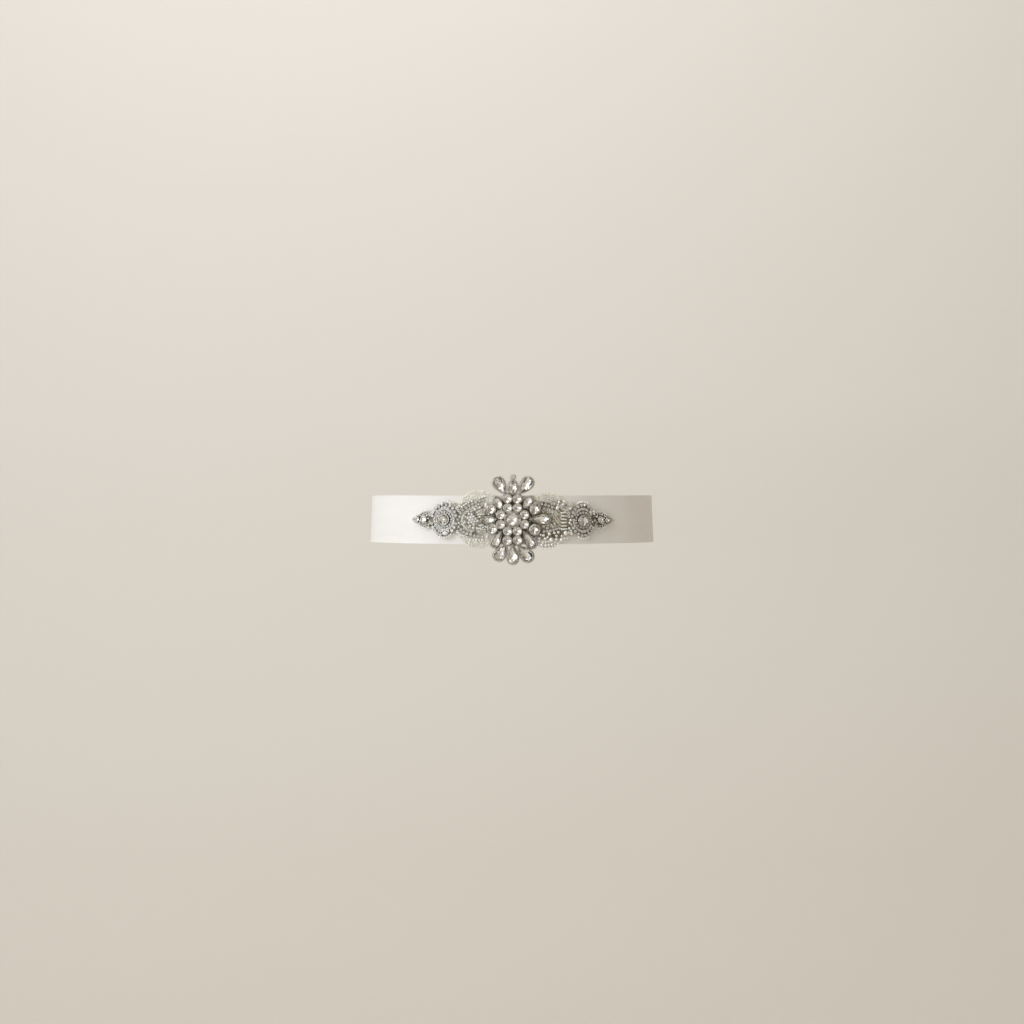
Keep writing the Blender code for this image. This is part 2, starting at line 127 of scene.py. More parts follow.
def newMaterial(name, colour, **settings):
    material = bpy.data.materials.new(name)
    material.use_nodes = True
    shader = material.node_tree.nodes["Principled BSDF"]
    shader.inputs["Base Color"].default_value = linearColour(colour)
    for key, value in settings.items():
        shader.inputs[key.replace("_", " ")].default_value = value
    return material, shader


def setColour(material, shader, share, darker, lighter):
    # the share, from 0 to 1, picks a colour between two
    ramp = addNode(material, "ValToRGB", links={"Fac": share})
    ramp.color_ramp.elements[0].color = linearColour(darker)
    ramp.color_ramp.elements[1].color = linearColour(lighter)
    material.node_tree.links.new(ramp.outputs["Color"], shader.inputs["Base Color"])


def setBump(material, shader, height, depth, strength=1.0):
    bump = addNode(material, "Bump", {"Strength": strength, "Distance": depth * mm}, {"Height": height})
    material.node_tree.links.new(bump.outputs["Normal"], shader.inputs["Normal"])


def setRoughness(material, shader, share, low, high):
    spread = addNode(material, "MapRange", {"To Min": low, "To Max": high}, {"Value": share})
    material.node_tree.links.new(spread.outputs["Result"], shader.inputs["Roughness"])


def addNoise(material, scale, detail):
    # Noise fixed to the piece, whose cells are about 1 / scale metres wide
    place = addNode(material, "TexCoord")
    noise = addNode(material, "TexNoise", {"Scale": scale, "Detail": detail}, {"Vector": place.outputs["Object"]})
    return noise.outputs["Fac"]


def ribbonSatinMaterial():
    # Polyester satin ribbon, woven with long warp floats: a smooth face with a broad soft sheen that is a little
    # streaky along the warp, and a ribbed woven edge 1 mm wide. Real warp ends are 0.1 mm apart, so the streaks
    # drawn here, 0.5 mm wide, are bundles of them.
    material, shader = newMaterial(
        "satinPolyesterWoven", "#F1EFEC", Roughness=0.36, Specular_IOR_Level=0.5, Sheen_Weight=0.25,
        Sheen_Roughness=0.35, Anisotropic=0.55,
    )
    cloth = addNode(material, "UVMap", {"uv_map": "cloth"})  # in metres, along and up
    stretched = addNode(material, "Mapping", {"Scale": (26, 1900, 1)}, {"Vector": cloth.outputs["UV"]})
    streaks = addNode(material, "TexNoise", {"Scale": 1.0, "Detail": 3.0}, {"Vector": stretched.outputs["Vector"]})
    broad = addNode(material, "Mapping", {"Scale": (14, 90, 1)}, {"Vector": cloth.outputs["UV"]})
    cloudy = addNode(material, "TexNoise", {"Scale": 1.0, "Detail": 2.0}, {"Vector": broad.outputs["Vector"]})
    split = addNode(material, "SeparateXYZ", links={"Vector": cloth.outputs["UV"]})
    height = addNode(material, "Math", {"operation": "ABSOLUTE"}, {0: split.outputs["Y"]})
    edge = addNode(material, "MapRange", {"From Min": 18.9 * mm, "From Max": 19.2 * mm}, {"Value": height.outputs[0]})
    turns = addNode(material, "Math", {"operation": "MULTIPLY", 1: 2 * math.pi / (0.8 * mm)}, {0: split.outputs["X"]})
    wave = addNode(material, "Math", {"operation": "SINE"}, {0: turns.outputs[0]})
    picks = addNode(material, "Math", {"operation": "MULTIPLY"}, {0: wave.outputs[0], 1: edge.outputs[0]})
    relief = addNode(material, "Math", {"operation": "ADD"}, {0: picks.outputs[0], 1: streaks.outputs["Fac"]})
    setColour(material, shader, cloudy.outputs["Fac"], "#EEECE9", "#F5F3F1")
    setRoughness(material, shader, streaks.outputs["Fac"], 0.30, 0.44)
    setBump(material, shader, relief.outputs[0], 0.035, 0.6)
    tangent = addNode(material, "Tangent", {"direction_type": "UV_MAP", "uv_map": "cloth"})
    material.node_tree.links.new(tangent.outputs["Tangent"], shader.inputs["Tangent"])
    return material


def feltMaterial():
    # Stiffened wool and viscose felt: matt, with short fibres lying all ways, about 0.4 mm across as drawn.
    material, shader = newMaterial("feltPressed", "#DAD4C4", Roughness=0.95, Sheen_Weight=0.4, Specular_IOR_Level=0.2)
    fibres = addNoise(material, 2600, 4)
    setColour(material, shader, fibres, "#BEB7A4", "#E9E4D8")
    setBump(material, shader, fibres, 0.25)
    return material


def netMaterial(name, coreThreadShaded, coreGapShaded):
    # Nylon tulle laid on the felt on the bias: a mesh with cells 1 mm wide, darker through them. It is pale at the
    # rim, and
    # darker in the core under the beads: painted shade between the beads. Real thread is finer than the thread drawn
    # here.
    material, shader = newMaterial(name, "#E8E6DA", Roughness=0.6, Sheen_Weight=0.3)
    cloth = addNode(material, "UVMap", {"uv_map": "cloth"})
    bias = addNode(material, "Mapping", {"Rotation": (0, 0, 0.7)}, {"Vector": cloth.outputs["UV"]})
    core = addNode(material, "Attribute", {"attribute_name": "core"})
    cells = addNode(material, "TexVoronoi", {
        "voronoi_dimensions": "2D", "feature": "DISTANCE_TO_EDGE", "Scale": 1 / mm, "Randomness": 0.55,
    }, {"Vector": bias.outputs["Vector"]})
    colours = []
    for threadColour, gapColour in (("#F9F8F1", "#EAE8DC"), (coreThreadShaded, coreGapShaded)):
        ramp = addNode(material, "ValToRGB", links={"Fac": cells.outputs["Distance"]})
        ramp.color_ramp.elements[0].color = linearColour(threadColour)
        ramp.color_ramp.elements[0].position = 0.08
        ramp.color_ramp.elements[1].color = linearColour(gapColour)
        ramp.color_ramp.elements[1].position = 0.26
        colours.append(ramp.outputs["Color"])
    both = addNode(material, "Mix", {"data_type": "RGBA"}, {0: core.outputs["Fac"], 6: colours[0], 7: colours[1]})
    material.node_tree.links.new(both.outputs[2], shader.inputs["Base Color"])
    setBump(material, shader, cells.outputs["Distance"], -0.3)
    return material


def silverMaterial(name, tarnishAndShade, polished, rough):
    # Cast white metal, silver plated and darkened: the hollows stay nearly black and the edges are rubbed bright,
    # partly oxide and wear and partly painted shade.
    material, shader = newMaterial(name, polished, Metallic=1.0, Roughness=rough)
    worn = addNode(material, "Attribute", {"attribute_name": "worn"})
    patches = addNoise(material, 900, 3)
    uneven = addNode(material, "MapRange", {"To Min": -0.25, "To Max": 0.25}, {"Value": patches})
    share = addNode(material, "Math", {"operation": "ADD"}, {0: worn.outputs["Fac"], 1: uneven.outputs["Result"]})
    # painted shade as well as oxide: low parts darker, raised parts lighter
    setColour(material, shader, share.outputs[0], tarnishAndShade, polished)
    setRoughness(material, shader, patches, rough - 0.08, rough + 0.15)
    setBump(material, shader, patches, 0.05, 0.5)
    return material


def crystalMaterial(name, tint):
    # Machine cut lead glass: water clear, high index, sharp polished facets.
    material, shader = newMaterial(name, tint, Roughness=0.015, Transmission_Weight=1.0, IOR=1.56)
    setRoughness(material, shader, addNoise(material, 700, 1), 0.01, 0.03)
    return material


def foilMaterial(name, metallic, darker, lighter, low, high, scale):
    # Silver on the back of a stone, seen through the glass: bright, with a faint haze.
    material, shader = newMaterial(name, lighter, Metallic=metallic)
    haze = addNoise(material, scale, 2)
    setColour(material, shader, haze, darker, lighter)
    setRoughness(material, shader, haze, low, high)
    return material


def beadMaterial(name, darker, lighter, rough, **settings):
    # Glass beads: each has its own shade, kept in an attribute, and a glossy, slightly uneven skin.
    material, shader = newMaterial(name, lighter, Roughness=rough, **settings)
    shade = addNode(material, "Attribute", {"attribute_name": "shade"})
    setColour(material, shader, shade.outputs["Fac"], darker, lighter)
    setRoughness(material, shader, addNoise(material, 1500, 2), rough - 0.05, rough + 0.08)
    return material


def threadMaterial():
    # Mercerised sewing thread, 0.3 mm thick, two plies twisted: pale, with a slight gloss.
    material, shader = newMaterial("threadCottonTwisted", "#E8E4DA", Roughness=0.6, Sheen_Weight=0.3)
    place = addNode(material, "TexCoord")
    twist = addNode(material, "TexWave", {"Scale": 900, "Distortion": 1.0}, {"Vector": place.outputs["Object"]})
    setColour(material, shader, twist.outputs["Fac"], "#D2CCBE", "#F2EFE8")
    setBump(material, shader, twist.outputs["Fac"], 0.05)
    return material


def nickelMaterial():
    # Steel sheet and wire, nickel plated: bright and slightly yellow, with fine draw marks.
    material, shader = newMaterial("steelNickelPlated", "#C9C5BC", Metallic=1.0, Roughness=0.24)
    place = addNode(material, "TexCoord")
    drawn = addNode(material, "Mapping", {"Scale": (300, 300, 3000)}, {"Vector": place.outputs["Object"]})
    marks = addNode(material, "TexNoise", {"Scale": 1.0, "Detail": 3.0}, {"Vector": drawn.outputs["Vector"]})
    setColour(material, shader, marks.outputs["Fac"], "#A9A59B", "#DAD7CF")
    setRoughness(material, shader, marks.outputs["Fac"], 0.18, 0.36)
    return material


satin = ribbonSatinMaterial()
felt = feltMaterial()
# the second pair of colours is the core's, darkened with painted shade between the beads
netCream = netMaterial("tulleNylonCream", "#D6D3C4", "#85816E")
netOlive = netMaterial("tulleNylonOlive", "#BCB59A", "#565039")
silverCups = silverMaterial("silverAntiquedAndShaded", "#2B2924", "#E4E1D8", 0.24)
# the frame and leaf grounds are dark all over: tarnish, and painted shade in the gaps between the cups
silverPlateShaded = silverMaterial("silverTarnishedAndShaded", "#1F1D18", "#8E8A7D", 0.42)
crystal = crystalMaterial("crystalCutClear", "#FBFBFA")
# foil fired on a large stone is a mirror, and the silver paint of a small one is more diffuse
foil = foilMaterial("foilSilverBacked", 1.0, "#EAE8E4", "#FCFBF9", 0.07, 0.16, 1400)
softFoil = foilMaterial("foilPaintedSilver", 0.15, "#F7F6F3", "#FFFFFF", 0.22, 0.4, 900)
# the pearls are coated and softer, the others clear with silver in the hole, opaque cream, and smoky
pearl = beadMaterial(
    "pearlGlassCoated", "#DEDBDC", "#F7F6F5", 0.18, Coat_Weight=0.5, Coat_Roughness=0.12, Sheen_Weight=0.2,
)
seedClear = beadMaterial(
    "seedGlassSilverLined", "#EEECE6", "#FFFFFD", 0.16, Metallic=0.38, Coat_Weight=1.0, Coat_Roughness=0.04,
)
seedCream = beadMaterial("seedGlassCream", "#F1EFE3", "#FFFEF8", 0.16, Coat_Weight=0.8, Coat_Roughness=0.06)
seedSmoke = beadMaterial(
    "seedGlassSmoked", "#3A372F", "#8A8677", 0.10, Metallic=0.5, Coat_Weight=1.0, Coat_Roughness=0.04,
)
thread = threadMaterial()
nickel = nickelMaterial()
print("materials made")


# Modelling helpers

def startMesh(add, **settings):
    # A new primitive in edit mode, selected all over
    bpy.ops.object.select_all(action="DESELECT")
    add(**settings)
    bpy.ops.object.mode_set(mode="EDIT")
    bpy.ops.mesh.select_all(action="SELECT")
    return bpy.context.object


def endEdit():
    bpy.ops.object.mode_set(mode="OBJECT")
    return bpy.context.object


def getPoints(item):
    points = np.empty(len(item.data.vertices) * 3)
    item.data.vertices.foreach_get("co", points)
    return points.reshape(-1, 3)


def setPoints(item, points):
    item.data.vertices.foreach_set("co", np.asarray(points, dtype=float).ravel())
    item.data.update()


def pick(item):
    bpy.ops.object.select_all(action="DESELECT")
    item.select_set(True)
    bpy.context.view_layer.objects.active = item


def addModifier(item, kind, **settings):
    pick(item)
    modifier = item.modifiers.new(kind.title(), kind)
    for name, value in settings.items():
        setattr(modifier, name, value)
    bpy.ops.object.modifier_apply(modifier=modifier.name)


def smoothShade(item, degrees):
    pick(item)
    bpy.ops.object.shade_smooth_by_angle(angle=math.radians(degrees), keep_sharp_edges=False)


def thicken(item, wall, degrees=50):
    # Gives a sheet its wall, outwards, and smooths it
    addModifier(item, "SOLIDIFY", thickness=wall * mm, offset=1.0, use_even_offset=True)
    smoothShade(item, degrees)


def nameClothMap(item, along, up):
    # The cloth's own flat place, in metres
    layer = item.data.uv_layers[0]
    layer.name = "cloth"
    corners = np.empty(len(item.data.loops), dtype=int)
    item.data.loops.foreach_get("vertex_index", corners)
    layer.data.foreach_set("uv", np.stack([along[corners] * mm, up[corners] * mm], 1).ravel())


def moved(points, matrix):
    # Points in metres, taken through a 4 x 4 matrix
    matrix = np.array(matrix)
    return points @ matrix[:3, :3].T + matrix[:3, 3]


def finishPiece(item, name, materials, slot, *nodes):
    item.name = name
    item.data.name = name
    for material in materials:
        item.data.materials.append(material)
    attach(item, "root")
    if nodes:
        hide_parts(*nodes)


def setAttribute(mesh, name, values):
    layer = mesh.attributes.new(name, "FLOAT", "POINT")
    layer.data.foreach_set("value", np.asarray(values, dtype=float))


def turnedShape(profile, sides):
    # A closed outline of (radius, height), spun all round
    item = startMesh(bpy.ops.mesh.primitive_circle_add, vertices=len(profile), radius=1.0)
    endEdit()
    setPoints(item, [(radius, 0, height) for radius, height in profile])
    bpy.ops.object.mode_set(mode="EDIT")
    bpy.ops.mesh.select_all(action="SELECT")
    bpy.ops.mesh.spin(steps=sides, angle=2 * math.pi, center=(0, 0, 0), axis=(0, 0, 1))
    bpy.ops.mesh.select_all(action="SELECT")
    bpy.ops.mesh.remove_doubles(threshold=1e-4)
    bpy.ops.mesh.normals_make_consistent(inside=False)
    endEdit()
    return item


def cutShape(rings):
    # The hull of rings of corners, one above another: (corners, radius, height, turn in steps)
    first, *others = rings

    def settings(ring):
        corners, radius, height, turn = ring
        return {
            "vertices": corners, "radius": radius, "location": (0, 0, height),
            "rotation": (0, 0, turn * 2 * math.pi / corners),
        }

    item = startMesh(bpy.ops.mesh.primitive_circle_add, **settings(first))
    for ring in others:
        bpy.ops.mesh.primitive_circle_add(**settings(ring))
    bpy.ops.mesh.select_all(action="SELECT")
    bpy.ops.mesh.convex_hull(face_threshold=0.01, shape_threshold=0.01)
    bpy.ops.mesh.select_all(action="SELECT")
    bpy.ops.mesh.normals_make_consistent(inside=False)
    endEdit()
    bpy.ops.object.transform_apply(location=True, rotation=True, scale=True)
    return item


def takeTemplate(item):
    # The shape's points in millimetres, its faces and their material numbers; the object goes
    mesh = item.data
    points = getPoints(item)
    faces = [tuple(face.vertices) for face in mesh.polygons]
    numbers = [face.material_index for face in mesh.polygons]
    worn = None
    if "worn" in mesh.attributes:
        worn = np.empty(len(points))
        mesh.attributes["worn"].data.foreach_get("value", worn)
    bpy.data.objects.remove(item, do_unlink=True)
    return {"points": points, "faces": faces, "numbers": numbers, "worn": worn}


def stampedPiece(name, stamps, materials, slot, smooth=True):
    # One mesh from many copies: stamps are (template, matrix, size in millimetres)
    points, faces, numbers, shades, worn = [], [], [], [], []
    count = 0
    for template, matrix, size in stamps:
        local = template["points"] * np.asarray(size) * mm
        points.append(moved(local, matrix))
        faces += [tuple(number + count for number in face) for face in template["faces"]]
        numbers += template["numbers"]
        shades += [dice.random()] * len(local)
        worn.append(template["worn"] if template["worn"] is not None else np.ones(len(local)))
        count += len(local)
    mesh = bpy.data.meshes.new(name)
    mesh.from_pydata(np.concatenate(points).tolist(), [], faces)
    mesh.polygons.foreach_set("material_index", numbers)
    item = bpy.data.objects.new(name, mesh)
    bpy.context.scene.collection.objects.link(item)
    setAttribute(mesh, "shade", shades)
    setAttribute(mesh, "worn", np.concatenate(worn))
    if smooth:
        mesh.polygons.foreach_set("use_smooth", [True] * len(faces))
    mesh.update()
    finishPiece(item, name, materials, slot)


# Satin ribbon band

ribbon = {
    "width": 40.0,
    "wall": 0.4,
    "inner": 0.5,  # inner face off the waist, inside the solid's 1 mm wall
    "lapInner": 0.2,
    "columns": 472,
    "rows": 26,
    "dip": 1.1,
    "lap": 30.0,
    "lapRamp": 26.0,
    "lapRest": 3.0,
    "lapRise": 4.0,
    "edgeRoll": 0.1,
    "edgeSpread": 0.9,
    "hem": 8.0,
    "hemStep": 0.35,
    "hemDent": 0.22,
    "stitchIn": 1.4,  # stitches from the hem's edge
}

# Creases and soft buckles: from (along, up) to (along, up), half width, and how far out the cloth stands there
creases = [
    (-136, -16.6, -88, -17.7, 0.9, -0.42),
    (-140, -18.4, -104, -18.9, 0.6, -0.26),
    (-172, -15.2, -140, -16.6, 0.9, -0.28),
    (84, -15.6, 132, -14.4, 0.9, -0.34),
    (96, -18.6, 140, -17.4, 0.7, -0.30),
    (100, 13.2, 138, 16.0, 1.1, -0.22),
    (-152, 14.0, -112, 16.4, 1.2, -0.20),
    (-98, -20, -93, 20, 4.0, 0.22),
    (104, -20, 99, 20, 4.5, 0.20),
    (174, -20, 189, 20, 2.6, -0.68),
    (181, -20, 196, 20, 2.4, 0.46),
    (-184, -20, -192, 20, 2.8, -0.62),
    (-176, -20, -184, 20, 2.6, 0.42),
    (206, -18, 226, 15, 2.4, 0.42),
    (-216, -17, -234, 18, 2.6, 0.40),
    (226, 9, 304, 1, 1.3, -0.42),
    (244, -10, 306, -6, 1.5, -0.36),
    (-238, 10, -306, 4, 1.3, -0.42),
    (-256, -11, -308, -8, 1.6, -0.34),
    (262, -20, 274, 20, 3.0, 0.34),
    (-280, -20, -268, 20, 3.2, 0.32),
    (146, 3, 208, 10, 1.4, -0.52),
    (-142, -2, -204, -9, 1.5, -0.48),
    (120, -8, 168, -3, 1.2, -0.26),
    (-124, 6, -160, 9, 1.3, -0.24),
]


def creaseOut(along, up):
    total = np.zeros_like(along)
    for startAlong, startUp, endAlong, endUp, halfWidth, depth in creases:
        run = np.array([endAlong - startAlong, endUp - startUp], dtype=float)
        length = np.linalg.norm(run)
        share = ((along - startAlong) * run[0] + (up - startUp) * run[1]) / length**2
        beside = (-(along - startAlong) * run[1] + (up - startUp) * run[0]) / length
        # troughs bow, and what runs from edge to edge doesn't fade at its ends
        bow = 0.06 * length * np.sin(np.pi * np.clip(share, 0, 1)) * (depth < 0)
        fade = ease(np.minimum(share, 1 - share) * 5 + (abs(run[1]) > 30))
        total += depth * fade * np.exp(-(((beside - bow) / halfWidth) ** 2))
    return total


def ribbonInner(along):
    start = waistRound / 2 - ribbon["lap"] / 2 - ribbon["lapRest"] - ribbon["lapRamp"]
    share = ease((along - start) / ribbon["lapRamp"])
    return ribbon["inner"] + (ribbon["lapRise"] - ribbon["inner"] + ribbon["lapInner"]) * share


def ribbonUp(along, share):
    # the share runs from -0.5 at the lower edge to 0.5, and the band dips at centre front
    return share * ribbon["width"] - ribbon["dip"] * np.cos(np.pi * along / waistRound) ** 6


def addRibbon():
    item = startMesh(
        bpy.ops.mesh.primitive_grid_add, x_subdivisions=ribbon["columns"], y_subdivisions=ribbon["rows"], size=1.0,
        calc_uvs=True,
    )
    endEdit()
    flat = getPoints(item)
    length = waistRound + ribbon["lap"]
    along, share = flat[:, 0] * length, flat[:, 1]
    up = ribbonUp(along, share)
    # the woven edges stand out a little
    fromEdge = (0.5 - np.abs(share)) * ribbon["width"]
    roll = ribbon["edgeRoll"] * np.exp(-((fromEdge / ribbon["edgeSpread"]) ** 2))
    # each cut end is turned in twice and sewn down, which leaves a low step and a dent along the stitches
    fromHem = ribbon["hem"] - length / 2 + np.abs(along)
    hem = ribbon["hemStep"] * ease(fromHem / 0.8 + 0.5)
    hem -= ribbon["hemDent"] * np.exp(-(((fromHem - ribbon["stitchIn"]) / 0.5) ** 2))
    out = ribbonInner(along) + creaseOut(along, up) + roll + hem
    setPoints(item, bandPoints(along, up, out))
    nameClothMap(item, along, share * ribbon["width"])
    thicken(item, ribbon["wall"])
    finishPiece(item, "satinRibbon", [satin], "ribbon_satin", "ribbon_band")


addRibbon()
print("ribbon made")


# Stones: along, up, long and wide are in millimetres; tilt is the way that the long axis points, in degrees

Stone = namedtuple("Stone", "name cut along up long wide tilt thick")
Oval = namedtuple("Oval", "name along up halfLong halfHigh")
stoneOut = 4.2  # height of the stones' seats off the waist
plateOut = 2.6  # height of the rosettes' and leaves' undersides

stones = [Stone("stone_centre", "centre", 0.5, -0.8, 12.6, 12.6, 0, 4.2)]
ringReach = 10.3
for number in range(8):
    turn = math.pi / 4 * (number + 0.5)
    along, up = 0.5 + ringReach * math.cos(turn), -0.8 + ringReach * math.sin(turn)
    stones.append(Stone(f"stone_ring_{number + 1}", "round", along, up, 7.0, 7.0, 0, 2.9))
stones += [
    Stone("stone_top_left", "round", -3.7, 16.5, 7.2, 7.2, 0, 3.0),
    Stone("stone_top_right", "round", 4.4, 16.2, 7.2, 7.2, 0, 3.0),
    Stone("stone_bottom_left", "round", -3.6, -17.9, 7.3, 7.3, 0, 3.0),
    Stone("stone_bottom_right", "round", 4.5, -17.7, 7.1, 7.1, 0, 3.0),
    Stone("stone_left_upper", "round", -16.5, 7.9, 7.1, 7.1, 0, 3.0),
    Stone("stone_left_lower", "round", -15.8, -8.2, 8.0, 8.0, 0, 3.2),
    Stone("stone_right_upper", "oval", 18.6, 8.2, 9.3, 8.1, 60, 3.3),
    Stone("stone_right_lower", "round", 18.1, -9.1, 8.7, 8.7, 0, 3.3),
    Stone("navette_left", "navette", -18.4, -1.0, 12.4, 5.2, 185, 2.8),
    Stone("navette_right", "pear", 22.3, -0.4, 17.2, 7.0, 1, 3.2),
    Stone("navette_upper_left", "navette", -11.1, 12.8, 12.2, 5.4, 117, 2.8),
    Stone("navette_upper_right", "navette", 13.0, 13.6, 12.3, 5.4, 56, 2.8),
    Stone("navette_lower_left", "pear", -12.0, -16.6, 14.6, 6.6, -118, 3.1),
    Stone("navette_lower_right", "pear", 13.6, -16.9, 16.2, 7.1, -56, 3.1),
    Stone("fan_top_left", "pear", -9.5, 27.0, 15.2, 8.6, 122, 3.8),
    Stone("fan_top_middle", "oval", 0.7, 25.9, 10.4, 7.4, 90, 3.6),
    Stone("fan_top_right", "pear", 10.9, 27.1, 15.4, 9.0, 54, 3.8),
    Stone("fan_bottom_left", "pear", -8.6, -27.6, 14.4, 8.4, -127, 3.8),
    Stone("fan_bottom_middle", "pear", 0.6, -29.2, 15.4, 8.0, -89, 3.8),
    Stone("fan_bottom_right", "pear", 10.2, -28.2, 15.6, 9.0, -50, 3.8),
    Stone("finial", "small", 0.7, 34.2, 3.2, 3.2, 0, 2.4),
]
medallionStones = list(stones)
stones += [
    Stone("stone_rosette_left", "round", -55.5, -0.6, 8.8, 8.8, 0, 3.0),
    Stone("stone_rosette_right", "round", 58.2, -1.7, 8.8, 8.8, 0, 3.0),
    Stone("stone_leaf_left", "small", -73.1, -0.4, 5.2, 5.2, 0, 2.4),
    Stone("stone_leaf_right", "small", 73.3, -1.0, 5.0, 5.0, 0, 2.4),
    Stone("bead_leaf_left", "small", -78.9, -0.6, 2.8, 2.8, 0, 1.9),
    Stone("bead_leaf_right", "small", 79.3, -1.4, 3.4, 3.4, 0, 2.0),
]


def seatOf(stone):
    return bandFrame(stone.along, stone.up, stoneOut)


def stoneOutline(stone, turn, margin=0.0):
    # Points of the stone's outline from its middle, grown by a margin, at turns from its long axis
    across, beside = np.cos(turn), np.sin(turn)
    if stone.cut == "navette":
        beside = beside * np.abs(beside)
    elif stone.cut == "pear":
        beside = beside * np.abs(np.cos(turn / 2)) / 0.75
    x = across * (stone.long / 2 + margin)
    y = beside * (stone.wide / 2 + margin)
    tilt = math.radians(stone.tilt)
    return x * math.cos(tilt) - y * math.sin(tilt), x * math.sin(tilt) + y * math.cos(tilt)


def brilliantCut(table, star, girdleTop, pavilion, point):
    # Radii of the table and star facets, the girdle's top, and the two rings below it: radius and height
    return [
        (8, table, 1.0, 0), (8, star, 0.78, 0.5), (16, 0.95, girdleTop, 0), (16, 0.95, girdleTop - 0.08, 0),
        (8, *pavilion, 0.5), (*point, 0),
    ]


# Facets, from the table down: corners, share of the outline's radius, share of the thickness, turn in steps
gemCuts = {
    "centre": [
        (8, 0.34, 1.0, 0), (8, 0.58, 0.88, 0.5), (16, 0.78, 0.68, 0), (16, 0.95, 0.42, 0.5), (16, 0.95, 0.33, 0.5),
        (16, 0.64, 0.14, 0), (8, 0.34, 0.02, 0.5), (4, 0.06, -0.06, 0),
    ],
    "round": brilliantCut(0.50, 0.77, 0.42, (0.60, 0.12), (6, 0.10, -0.08)),
    "oval": brilliantCut(0.48, 0.76, 0.42, (0.60, 0.12), (4, 0.14, -0.08)),
    "pear": brilliantCut(0.46, 0.75, 0.40, (0.60, 0.10), (4, 0.20, -0.10)),
    "navette": brilliantCut(0.44, 0.74, 0.40, (0.58, 0.10), (4, 0.12, -0.08)),
    "small": [(6, 0.50, 1.0, 0), (12, 0.96, 0.46, 0), (12, 0.96, 0.36, 0), (6, 0.50, 0.02, 0.5)],
}


def tipped(degrees):
    # Handwork: a small random tilt
    return Matrix.Rotation(math.radians(dice.uniform(-degrees, degrees)), 4, "X") @ Matrix.Rotation(
        math.radians(dice.uniform(-degrees, degrees)), 4, "Y")


def markFoil(item):
    # What faces down is foil
    for face in item.data.polygons:
        face.material_index = int(face.normal.z < -0.05)


def addGem(stone):
    item = cutShape(gemCuts[stone.cut])
    markFoil(item)
    unit = getPoints(item)
    turn = np.arctan2(unit[:, 1], unit[:, 0])
    x, y = stoneOutline(stone, turn)
    reach = np.hypot(unit[:, 0], unit[:, 1])
    if stone.cut == "centre":
        # every other corner of two rings is cut deeper, as a star
        odd = np.cos(8 * turn) > 0
        for ringAt, rise in ((0.64, 0.09), (0.78, -0.07)):
            unit[:, 2] += np.where((np.abs(reach - ringAt) < 0.02) & odd, rise, 0)
    local = np.stack([x * reach, y * reach, unit[:, 2] * stone.thick], 1) * mm
    setPoints(item, moved(local, seatOf(stone) @ tipped(2.5)))
    finishPiece(item, "gem_" + stone.name, [crystal, foil], "crystal_glass", stone.name)


for stone in stones:
    addGem(stone)
print("stones cut:", len(stones))


# Settings of the large stones

# Section of a cup: distance outside the stone's outline, height over the seat as millimetres added to a share of the
# stone's girdle height, and how far the plating is rubbed bright, which is partly painted shade, darkest at the foot
cupSection = [
    (0.10, -0.80, 0.0, 0.0),
    (0.32, -0.20, 0.7, 0.2),
    (0.38, 0.02, 1.0, 0.75),
    (0.24, 0.22, 1.0, 1.2),
    (-0.06, 0.26, 1.0, 1.25),
    (-0.24, 0.08, 1.0, 0.8),
    (-0.24, -0.30, 0.8, 0.2),
    (-0.50, -0.60, 0.0, 0.0),
]
girdle = 0.42


def addCups():
    # One cup spun as a ring, then copied and fitted to each stone's outline
    section = np.array(cupSection)
    hub = 10.0  # radius that the ring is spun at, taken off again
    item = turnedShape([(hub + margin, lift) for margin, lift, _, _ in cupSection], 28)
    unit = getPoints(item)
    margin = np.hypot(unit[:, 0], unit[:, 1]) - hub
    turn = np.arctan2(unit[:, 1], unit[:, 0])
    rows = (np.abs(section[:, 0] - margin[:, None]) + np.abs(section[:, 1] - unit[:, 2:])).argmin(1)
    # the last column darkens the cup's foot and inside: rubbed plating and painted shade
    _, lift, share, worn = section[rows].T
    cup = takeTemplate(item)
    stamps = []
    for stone in stones:
        x, y = stoneOutline(stone, turn, margin)
        fitted = dict(cup, points=np.stack([x, y, lift + share * girdle * stone.thick], 1), worn=worn)
        stamps.append((fitted, seatOf(stone), 1.0))
    stampedPiece("stoneCups", stamps, [silverCups], "setting_silver")


claws = {
    "size": (0.5, 0.85, 0.45),
    "lift": 0.26,
    "lean": 18,
    "counts": {"centre": 8, "round": 4, "oval": 6, "pear": 6, "navette": 4, "small": 4},
}


